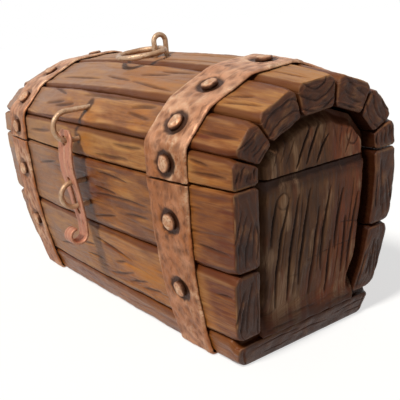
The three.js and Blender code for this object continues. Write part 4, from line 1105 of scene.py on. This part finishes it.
def base_band_grid(side, rise):
    foot = BANDS[side][1]
    zc = BAND + CORNER
    heights = np.linspace(BASE_HEIGHT - SEAM_GAP / 2, zc, 150)
    lines = []
    for f in np.linspace(0, 1, BAND_COLUMNS):
        walls = {}
        for wall, sign in WALLS.items():
            edges = band_edges(side, heights)
            x = lerp(edges[0], edges[1], f)
            y = sign * (face_over(x, heights) + rise)
            walls[wall] = np.column_stack([x, y, heights])
        x = lerp(*foot, f)
        radius = CORNER + rise - FIT
        bends = {}
        for wall, sign in WALLS.items():
            centre = face_over(x, zc) + FIT - CORNER
            a = np.linspace(0, np.pi / 2, 9)[1:]
            bends[wall] = np.column_stack([np.full(8, x), sign * (centre + radius * np.cos(a)),
                                           zc - radius * np.sin(a)])
        under = np.linspace(bends["front"][-1], bends["back"][-1], 60)[1:-1]
        lines.append(np.concatenate([walls["front"], bends["front"], under,
                                     bends["back"][::-1], walls["back"][::-1]]))
    return np.stack(lines, axis=1)


for s, side in enumerate(("left", "right")):
    seats = list(rivet_seats(side))
    lid_seats = [(seat, normal) for _, body, seat, normal in seats if body == "lid"]
    base_seats = [(seat, normal) for _, body, seat, normal in seats if body == "base"]
    strip(f"lid_strap_{side}", "lid", f"lid_band_{side}", lid_band_grid(side, FIT + BAND),
          lid_band_grid(side, FIT), side, 400 + s, lid_seats)
    strip(f"base_strap_{side}", "base", f"base_band_{side}", base_band_grid(side, FIT + BAND),
          base_band_grid(side, FIT), side, 410 + s, base_seats)
    for k, (node, body, seat, normal) in enumerate(seats):
        dome(f"{node}_head", body, node, seat, normal, RIVET_HEAD, RIVET_RISE, RIVET_SINK,
             COPPER_LOOK, "copper", 500 + 40 * s + k)

# Wire: staples and ring

WIRE_SIDES = 20


def sweep(name, body, node, path, radius, seed, closed=False):
    """A hand-drawn round wire along points in millimetres."""
    path, sides = np.asarray(path, float), WIRE_SIDES
    if closed:
        ahead, behind = np.roll(path, -1, axis=0), np.roll(path, 1, axis=0)
        tangent = ahead - behind
    else:
        tangent = np.gradient(path, axis=0)
    tangent /= np.linalg.norm(tangent, axis=1, keepdims=True)
    fixed = np.cross(tangent[0], tangent[len(path) // 3])
    if np.linalg.norm(fixed) < 1e-6:
        fixed = frame_of(tangent[0])[0]
    fixed /= np.linalg.norm(fixed)
    second = np.cross(tangent, fixed)
    second /= np.linalg.norm(second, axis=1, keepdims=True)
    first = np.cross(second, tangent)
    angles = np.arange(sides) * 2 * np.pi / sides
    run = run_along(path)
    grid = xyz(run[:, None] / 2.4, np.cos(angles) * 1.2, np.sin(angles) * 1.2)
    swell = 0.06 * noise(grid, seed) - 0.02
    if closed:
        fade = np.minimum(1, np.minimum(run, run[-1] - run) / 4)[:, None]
        swell = swell * fade
    wide = radius * (1 + swell)
    points = (path[:, None] + wide[..., None] * (np.cos(angles)[:, None] * first[:, None]
                                                 + np.sin(angles)[:, None] * second[:, None]))
    count = len(path)
    points = points.reshape(-1, 3)
    faces = []
    for i in range(count if closed else count - 1):
        j = (i + 1) % count
        for k in range(sides):
            m = (k + 1) % sides
            faces.append((i * sides + k, i * sides + m, j * sides + m, j * sides + k))
    if not closed:
        points = np.concatenate([points, path[:1], path[-1:]])
        first_end, last_ring = count * sides, (count - 1) * sides
        for k in range(sides):
            m = (k + 1) % sides
            faces.append((first_end, m, k))
            faces.append((first_end + 1, last_ring + k, last_ring + m))
    worn = np.clip(0.15 + 0.7 * noise(points / 5.0, 640), 0, 0.5)
    made = piece(name, body, "wire_brass", BRASS_LOOK, points, np.array([f[:3] for f in faces]),
                 replaces=[node], grain=points + seed * 13.0, recess=np.zeros(len(points)),
                 worn=worn)
    # The real faces, of three and four corners, take the place of those triangles.
    bm = bmesh.new()
    bm.from_mesh(made.data)
    bm.verts.ensure_lookup_table()
    bmesh.ops.delete(bm, geom=list(bm.faces), context="FACES_ONLY")
    for f in faces:
        bm.faces.new([bm.verts[i] for i in f]).smooth = True
    bmesh.ops.recalc_face_normals(bm, faces=bm.faces)
    bm.to_mesh(made.data)
    bm.free()


def curve_at(points, i, t):
    """A smooth curve through points, at share t between points i and i + 1."""
    last = len(points) - 1
    p0, p1, p2, p3 = (points[max(0, min(last, i + k))] for k in (-1, 0, 1, 2))
    return 0.5 * (2 * p1 + (p2 - p0) * t + (2 * p0 - 5 * p1 + 4 * p2 - p3) * t * t
                  + (3 * p1 - p0 - 3 * p2 + p3) * t ** 3)


def through(points, count):
    """An even curve through points."""
    points = np.asarray(points, float)
    fine = [curve_at(points, i, t) for i in range(len(points) - 1)
            for t in np.linspace(0, 1, 12, endpoint=False)]
    fine = np.array(fine + [points[-1]])
    run = run_along(fine)
    even = np.linspace(0, run[-1], count)
    return np.stack([np.interp(even, run, fine[:, k]) for k in range(3)], axis=1)


WIRE, WIRE_POINTS, HASP_X = 1.2, 90, -1.5
CURL, CURL_OUT, CURL_RISE = 6.4, 4.0, 14.6
CATCH, CATCH_OUT, CATCH_DROP = 5.5, 6.0, 16.0
LEG_ENDS = {"curl": (-30.9, -37.5), "catch": (-37.4, -36.6)}


def staple_path(out, z, radius, ends):
    y = -FRONT - out
    turn = [(HASP_X, y - radius * np.sin(a), z + radius * np.cos(a))
            for a in np.linspace(0, np.pi, 13)]
    top = [(HASP_X, lerp(ends[0], y, f), z + radius) for f in (0, 0.25, 0.5, 0.75)]
    bottom = [(HASP_X, lerp(y, ends[1], f), z - radius) for f in (0.25, 0.5, 0.75, 1)]
    return through(top + turn + bottom, WIRE_POINTS)


sweep("hasp_wire", "lid", "hasp_staple",
      staple_path(CURL_OUT, BASE_HEIGHT + CURL_RISE, CURL, LEG_ENDS["curl"]),
      WIRE, 601)
sweep("catch_wire", "base", "catch_staple",
      staple_path(CATCH_OUT, BASE_HEIGHT - CATCH_DROP, CATCH, LEG_ENDS["catch"]),
      WIRE, 602)

CROWN_MID = (lid_point(0, 31.8, 0)[1] + lid_point(0, 33.2, 0)[1]) / 2
LOOP, LOOP_RISE, LOOP_COVER = 3.1, 9.4, 5.0
loop_top = BASE_HEIGHT + CROWN_MID + LOOP_RISE
loop_foot = BASE_HEIGHT + CROWN_MID - STAVE + LOOP_COVER
spring = loop_top - LOOP
loop = [(0, -LOOP, lerp(loop_foot, spring, f)) for f in (0, 0.3, 0.6, 0.85)]
loop += [(0, -LOOP * np.cos(a), spring + LOOP * np.sin(a)) for a in np.linspace(0, np.pi, 13)]
loop += [(0, LOOP, lerp(loop_foot, spring, f)) for f in (0.85, 0.6, 0.3, 0)]
sweep("ring_wire_staple", "lid", "ring_staple", through(loop, WIRE_POINTS), WIRE, 603)

LIFT_RING, RING_WIRE, RING_LIFT, RING_DROOP = 10.5, 1.3, 3.2, np.radians(5.5)
pivot_z = BASE_HEIGHT + CROWN_MID + RING_LIFT
RING_POINTS = 120
turn = np.arange(RING_POINTS) * 2 * np.pi / RING_POINTS
hang = LIFT_RING * np.column_stack([np.sin(turn), np.cos(turn) - 1])
ring_path = np.column_stack([hang[:, 0], hang[:, 1] * np.cos(RING_DROOP),
                             pivot_z + hang[:, 1] * np.sin(RING_DROOP)])
sweep("lift_ring_wire", "ring", "lift_ring", ring_path, RING_WIRE, 604, closed=True)

# Hasp strap with its eye and slot

HASP, HASP_WIDTH, HEEL_WIDTH, TIP_WIDTH = 1.4, 12.0, 8.0, 6.0
EYE, HEAD_REACH = 2.2, 4.6
EYE_RISE = CURL_RISE - CURL + FIT
BENDS = [(5.2, EYE_RISE + HEAD_REACH), (5.9, EYE_RISE), (7.0, -2.8), (5.0, -16.0), (3.2, -29.0)]
SCROLL, SCROLL_TIP, SCROLL_TURN, SCROLL_DROP = 4.1, 2.4, np.radians(260), 34.0
SLOT_TOP = -CATCH_DROP + CATCH + WIRE + 1.8
SLOT_BOTTOM = -CATCH_DROP - CATCH - WIRE - 2.8
SLOT_HALF = WIRE + 0.6


def hasp_line():
    """Out, height and width along the strap."""
    points = np.array([(p[0], p[1], 0.0) for p in BENDS])
    fine, spans = [], len(points) - 1
    for i in range(spans):
        for t in np.linspace(0, 1, 24, endpoint=False):
            at = curve_at(points, i, t)
            f = (i + t) / spans
            round_head = np.sin(np.pi / 2 * min(1.0, f * spans))
            width = lerp(HASP_WIDTH, HEEL_WIDTH, max(0.0, 2 * f - 1) ** 2)
            fine.append((at[0], at[1], lerp(TIP_WIDTH, width, round_head)))
    for f in np.linspace(0, 1, 60):
        a, r = f * SCROLL_TURN, lerp(SCROLL, SCROLL_TIP, f ** 3)
        fine.append((BENDS[-1][0] + SCROLL - r * np.cos(a), -SCROLL_DROP - r * np.sin(a),
                     lerp(HEEL_WIDTH, TIP_WIDTH, f)))
    fine = np.array(fine)
    run = np.concatenate([[0], np.cumsum(np.hypot(*np.diff(fine[:, :2], axis=0).T))])
    even = np.linspace(0, run[-1], 190)
    return np.stack([np.interp(even, run, fine[:, k]) for k in range(3)], axis=1), even


def hasp_strap():
    line, run = hasp_line()
    out, z, width = line.T
    ahead = np.gradient(line[:, :2], axis=0)
    ahead /= np.linalg.norm(ahead, axis=1, keepdims=True)
    # The opening's half width at each place along the strap
    gap = np.zeros(len(run))
    straight = run < run[np.argmin(np.abs(z - BENDS[-1][1]))]
    for top, bottom, half in ((EYE_RISE + EYE, EYE_RISE - EYE, EYE),
                              (SLOT_TOP, SLOT_BOTTOM, SLOT_HALF)):
        inside = straight & (z < top) & (z > bottom)
        edge = np.minimum(top - z, z - bottom)
        reach = np.clip(half - edge, 0, half)
        gap = np.where(inside, np.sqrt(np.maximum(half ** 2 - reach ** 2, 0)), gap)
    cross = np.array([0, 0.05, 0.12, 0.22, 0.34, 0.46, 0.58, 0.7, 0.82, 0.92, 0.97, 1.0])
    m, n = len(run), len(cross)
    verts, places, index = [], [], {}
    wobble = 0.18 * line_noise(run / 4.0, 701)
    for side in (-1, 1):
        for k, way in enumerate((-1, 1)):
            for i in range(m):
                for j in range(n):
                    half = width[i] / 2 + wobble[i] * side
                    x = lerp(gap[i], half, cross[j])
                    near = min(half - x, (x - gap[i]) if gap[i] > 0 else 9, 0.7) / 0.7
                    thin = HASP / 2 * (0.45 + 0.55 * np.sqrt(max(0.0, near * (2 - near))))
                    dent = 0.22 * max(0, 1 - 1.5 * float(
                        cells(xyz(run[i] / 4.2, side * x / 3.8, 0.0)[None], 702)[0]))
                    thick = thin - (dent if way > 0 else 0)
                    o = out[i] + way * thick * -ahead[i, 1]
                    h = z[i] + way * thick * ahead[i, 0]
                    index[side, k, i, j] = len(verts)
                    verts.append((HASP_X + side * x, -FRONT - o, BASE_HEIGHT + h))
                    places.append((run[i], side * lerp(gap[i], width[i] / 2, cross[j]), cross[j]))
    faces = []
    for side in (-1, 1):
        for i in range(m - 1):
            for j in range(n - 1):
                for k in (0, 1):
                    faces.append([index[side, k, i, j], index[side, k, i + 1, j],
                                  index[side, k, i + 1, j + 1], index[side, k, i, j + 1]])
            for j, wall in ((n - 1, True), (0, gap[i] > 0 or gap[i + 1] > 0)):
                if wall:
                    faces.append([index[side, 0, i, j], index[side, 0, i + 1, j],
                                  index[side, 1, i + 1, j], index[side, 1, i, j]])
        for i in (0, m - 1):
            for j in range(n - 1):
                faces.append([index[side, 0, i, j], index[side, 0, i, j + 1],
                              index[side, 1, i, j + 1], index[side, 1, i, j]])
    along, across, edge = np.array(places).T
    weld(piece("hasp_tongue", "hasp", "copper", COPPER_LOOK, np.array(verts), np.array(faces),
               replaces=["hasp_strap"], grain=np.stack([along, across, 0 * along], 1) + 900.0,
               recess=np.where(edge > 0.99, 0.1, 0.0), rosy=np.full(len(verts), 0.65),
               worn=0.25 * np.clip((np.abs(edge - 0.5) - 0.3) / 0.15, 0, 1)))


hasp_strap()

# Hinges at the back

HINGE_X, HINGE_WIDTH, LEAF, REACH, TIP = 30.0, 14.0, 1.2, 11.0, 5.6
KNUCKLE, PIN, NAIL_IN = 2.2, 1.0, 3.6
NAIL_HEAD, NAIL_DOME, NAIL_SINK = 1.7, 0.9, 0.6
LEAF_Y = float(face((HINGE_X - HINGE_WIDTH / 2) / (LENGTH / 2), BASE_HEIGHT)) + FIT
HINGE_Y = LEAF_Y + KNUCKLE
NAIL_RISE = REACH - NAIL_IN


def leaf_plate(x0, z0, sign, seed):
    near = KNUCKLE + FIT
    rows, columns = 34, 40
    places, faces = lattice(rows, columns, 3)
    f, w, k = places[:, 0] / rows, places[:, 1] / columns * 2 - 1, places[:, 2] / 3
    shoulder = REACH - TIP
    top = shoulder + TIP * np.sqrt(np.maximum(0, 1 - np.abs(w) ** 2.2)) * 0.98 + 0.02 * TIP
    z = lerp(near, top, f)
    x = w * HINGE_WIDTH / 2
    hammer = 0.2 * (1 - np.clip(cells(xyz(x / 3.4, z / 3.4, 0.0), seed) * 1.5, 0, 1))
    hammer += 0.06 * (noise(xyz(x, z, 0.0), seed + 1) + 1)
    border = np.minimum((1 - np.abs(w)) * HINGE_WIDTH / 2, (1 - f) * (top - near))
    worn = 0.35 * np.clip(1 - border / 0.8, 0, 1) ** 2
    level = np.where(k == 0, LEAF - hammer - worn, lerp(LEAF, 0, k))
    points = np.stack([x0 + x, LEAF_Y + level, z0 + sign * z], axis=1)
    recess = np.clip(hammer * 1.5, 0, 0.5)
    return points, faces, recess


def knuckle(x0, x1, z0):
    rings, turns = 14, 32
    angles = np.arange(turns) * 2 * np.pi / turns
    profile = [(0.0, PIN + FIT), (0.0, KNUCKLE - 0.35)]
    profile += [(0.12, KNUCKLE - 0.12), (0.4, KNUCKLE)]
    length = x1 - x0
    profile += [(lerp(0.4, length - 0.4, t), KNUCKLE) for t in np.linspace(0, 1, rings)[1:-1]]
    profile += [(length - 0.4, KNUCKLE), (length - 0.12, KNUCKLE - 0.12),
                (length, KNUCKLE - 0.35), (length, PIN + FIT)]
    points = np.array([(x0 + s, HINGE_Y + r * np.cos(a), z0 + r * np.sin(a))
                       for s, r in profile for a in angles])
    count = len(profile)
    faces = [(i * turns + j, i * turns + (j + 1) % turns,
              (i + 1) % count * turns + (j + 1) % turns, (i + 1) % count * turns + j)
             for i in range(count) for j in range(turns)]
    return points, np.array(faces)


third = HINGE_WIDTH / 6
PARTS = {
    "lid": ("lid", BASE_HEIGHT, 1, [(FIT / 2 - third, third - FIT / 2)]),
    "base": ("base", BASE_HEIGHT, -1,
             [(-HINGE_WIDTH / 2, -third - FIT / 2), (third + FIT / 2, HINGE_WIDTH / 2)]),
}
for s, (side, way) in enumerate((("left", -1), ("right", 1))):
    x0 = way * HINGE_X
    for part, (body, z0, sign, spans) in PARTS.items():
        points, faces, recess = leaf_plate(x0, z0, sign, 800 + s)
        piece(f"hinge_plate_{part}_{side}", body, "wire_brass", BRASS_LOOK, points, faces,
              replaces=[f"hinge_leaf_{part}_{side}"], grain=points + 50.0 * s, recess=recess)
        for k, (a, b) in enumerate(spans):
            points, faces = knuckle(x0 + a, x0 + b, z0)
            piece(f"hinge_knuckle_{part}_{side}_{k + 1}", body, "wire_brass", BRASS_LOOK,
                  points, faces, grain=points, recess=np.zeros(len(points)))
            web = np.array([(x0 + lerp(a, b, t), LEAF_Y + y, z0 + sign * z)
                            for t in (0, 0.5, 1) for y, z in ((0, 0.3), (LEAF, 0.3),
                                                              (LEAF, 3.2), (0, 3.2))])
            faces = [(i * 4 + j, i * 4 + (j + 1) % 4, i * 4 + 4 + (j + 1) % 4, i * 4 + 4 + j)
                     for i in (0, 1) for j in range(4)] + [(0, 1, 2, 3), (8, 11, 10, 9)]
            piece(f"hinge_web_{part}_{side}_{k + 1}", body, "wire_brass", BRASS_LOOK, web,
                  np.array(faces), grain=web, recess=np.zeros(len(web)))
        seat = np.array((x0, LEAF_Y + LEAF + FIT, z0 + sign * NAIL_RISE))
        dome(f"hinge_nail_{part}_{side}_head", body, f"hinge_nail_{part}_{side}", seat,
             np.array((0, 1.0, 0)), NAIL_HEAD, NAIL_DOME, NAIL_SINK, BRASS_LOOK, "wire_brass",
             820 + s)
    pin = np.linspace((x0 - HINGE_WIDTH / 2, HINGE_Y, BASE_HEIGHT),
                      (x0 + HINGE_WIDTH / 2, HINGE_Y, BASE_HEIGHT), 30)
    sweep(f"hinge_rod_{side}", "base", f"hinge_pin_{side}", pin, PIN, 830 + s)

# Camera, as fitted to the photograph

FOCAL_PIXELS, FRAME_PIXELS, SENSOR = 708.523, 400, 36.0
AZIMUTH, ELEVATION, ROLL = np.radians((55.04, 16.754, -5.315))
CAMERA_AT = Vector((0.279338, -0.181019, 0.142365))
back = Vector((np.sin(AZIMUTH) * np.cos(ELEVATION), -np.cos(AZIMUTH) * np.cos(ELEVATION),
               np.sin(ELEVATION)))
right = Vector((np.cos(AZIMUTH), np.sin(AZIMUTH), 0))
up = back.cross(right)
cam_x = right * np.cos(ROLL) + up * np.sin(ROLL)
cam_y = -right * np.sin(ROLL) + up * np.cos(ROLL)
camera_data = bpy.data.cameras.new("camera")
camera_data.sensor_width = SENSOR
camera_data.lens = FOCAL_PIXELS / FRAME_PIXELS * SENSOR
camera_data.clip_start = 0.01
camera = bpy.data.objects.new("camera", camera_data)
turn = Matrix((cam_x, cam_y, back)).transposed().to_4x4()
camera.matrix_world = Matrix.Translation(CAMERA_AT) @ turn
bpy.context.scene.collection.objects.link(camera)
bpy.context.scene.camera = camera

# Floor, sky and sun

FLOOR_COLOUR, FLOOR_GLOW, SKY_LIGHT = (0.45, 0.45, 0.44, 1), 0.62, 0.2
SUN_STRENGTH, SUN_ANGLE, SUN_COLOUR = 2.9, np.radians(10), (1, 0.97, 0.93)
SUN_FROM = Vector((0.22, -0.68, 0.92))


def larger(tree, a, b):
    node = tree.nodes.new("ShaderNodeMath")
    node.operation = "MAXIMUM"
    tree.links.new(a, node.inputs[0])
    if isinstance(b, float):
        node.inputs[1].default_value = b
    else:
        tree.links.new(b, node.inputs[1])
    return node.outputs[0]


def background_rays(tree):
    """1 for the rays that see the pale background: from the camera, off gloss, through glass."""
    light = tree.nodes.new("ShaderNodeLightPath").outputs
    seen = larger(tree, light["Is Camera Ray"], light["Is Glossy Ray"])
    return larger(tree, seen, light["Is Transmission Ray"])


def floor_material():
    n = Nodes("floor")
    n.tree.nodes.remove(n.shader)
    seen = background_rays(n.tree)
    diffuse = n.add("BsdfDiffuse", {"Color": FLOOR_COLOUR})
    glow = n.add("Emission", {"Strength": n.math("MULTIPLY", seen, FLOOR_GLOW)})
    both = n.add("AddShader", {0: diffuse.outputs[0], 1: glow.outputs[0]})
    out = n.tree.nodes["Material Output"]
    n.put(out.inputs["Surface"], both.outputs[0])
    return n.material


def floor():
    steps = np.linspace(-2.0, 2.0, 41)
    grid = np.array([(x, y, 0) for x in steps for y in steps])
    count = len(steps)
    faces = [(i * count + j, (i + 1) * count + j, (i + 1) * count + j + 1, i * count + j + 1)
             for i in range(count - 1) for j in range(count - 1)]
    mesh = bpy.data.meshes.new("floor")
    mesh.from_pydata(grid.tolist(), [], faces)
    mesh.materials.append(floor_material())
    made = bpy.data.objects.new("floor", mesh)
    bpy.context.scene.collection.objects.link(made)


floor()

world = bpy.data.worlds.new("studio")
bpy.context.scene.world = world
world.use_nodes = True
tree = world.node_tree
background = tree.nodes["Background"]
strength = larger(tree, background_rays(tree), SKY_LIGHT)
tree.links.new(strength, background.inputs["Strength"])
background.inputs["Color"].default_value = (1, 1, 1, 1)


sun = bpy.data.lights.new("key", "SUN")
sun.energy, sun.angle, sun.color = SUN_STRENGTH, SUN_ANGLE, SUN_COLOUR
key = bpy.data.objects.new("key", sun)
key.matrix_world = SUN_FROM.to_track_quat("Z", "Y").to_matrix().to_4x4()
bpy.context.scene.collection.objects.link(key)

bpy.context.scene.view_settings.view_transform = "Standard"
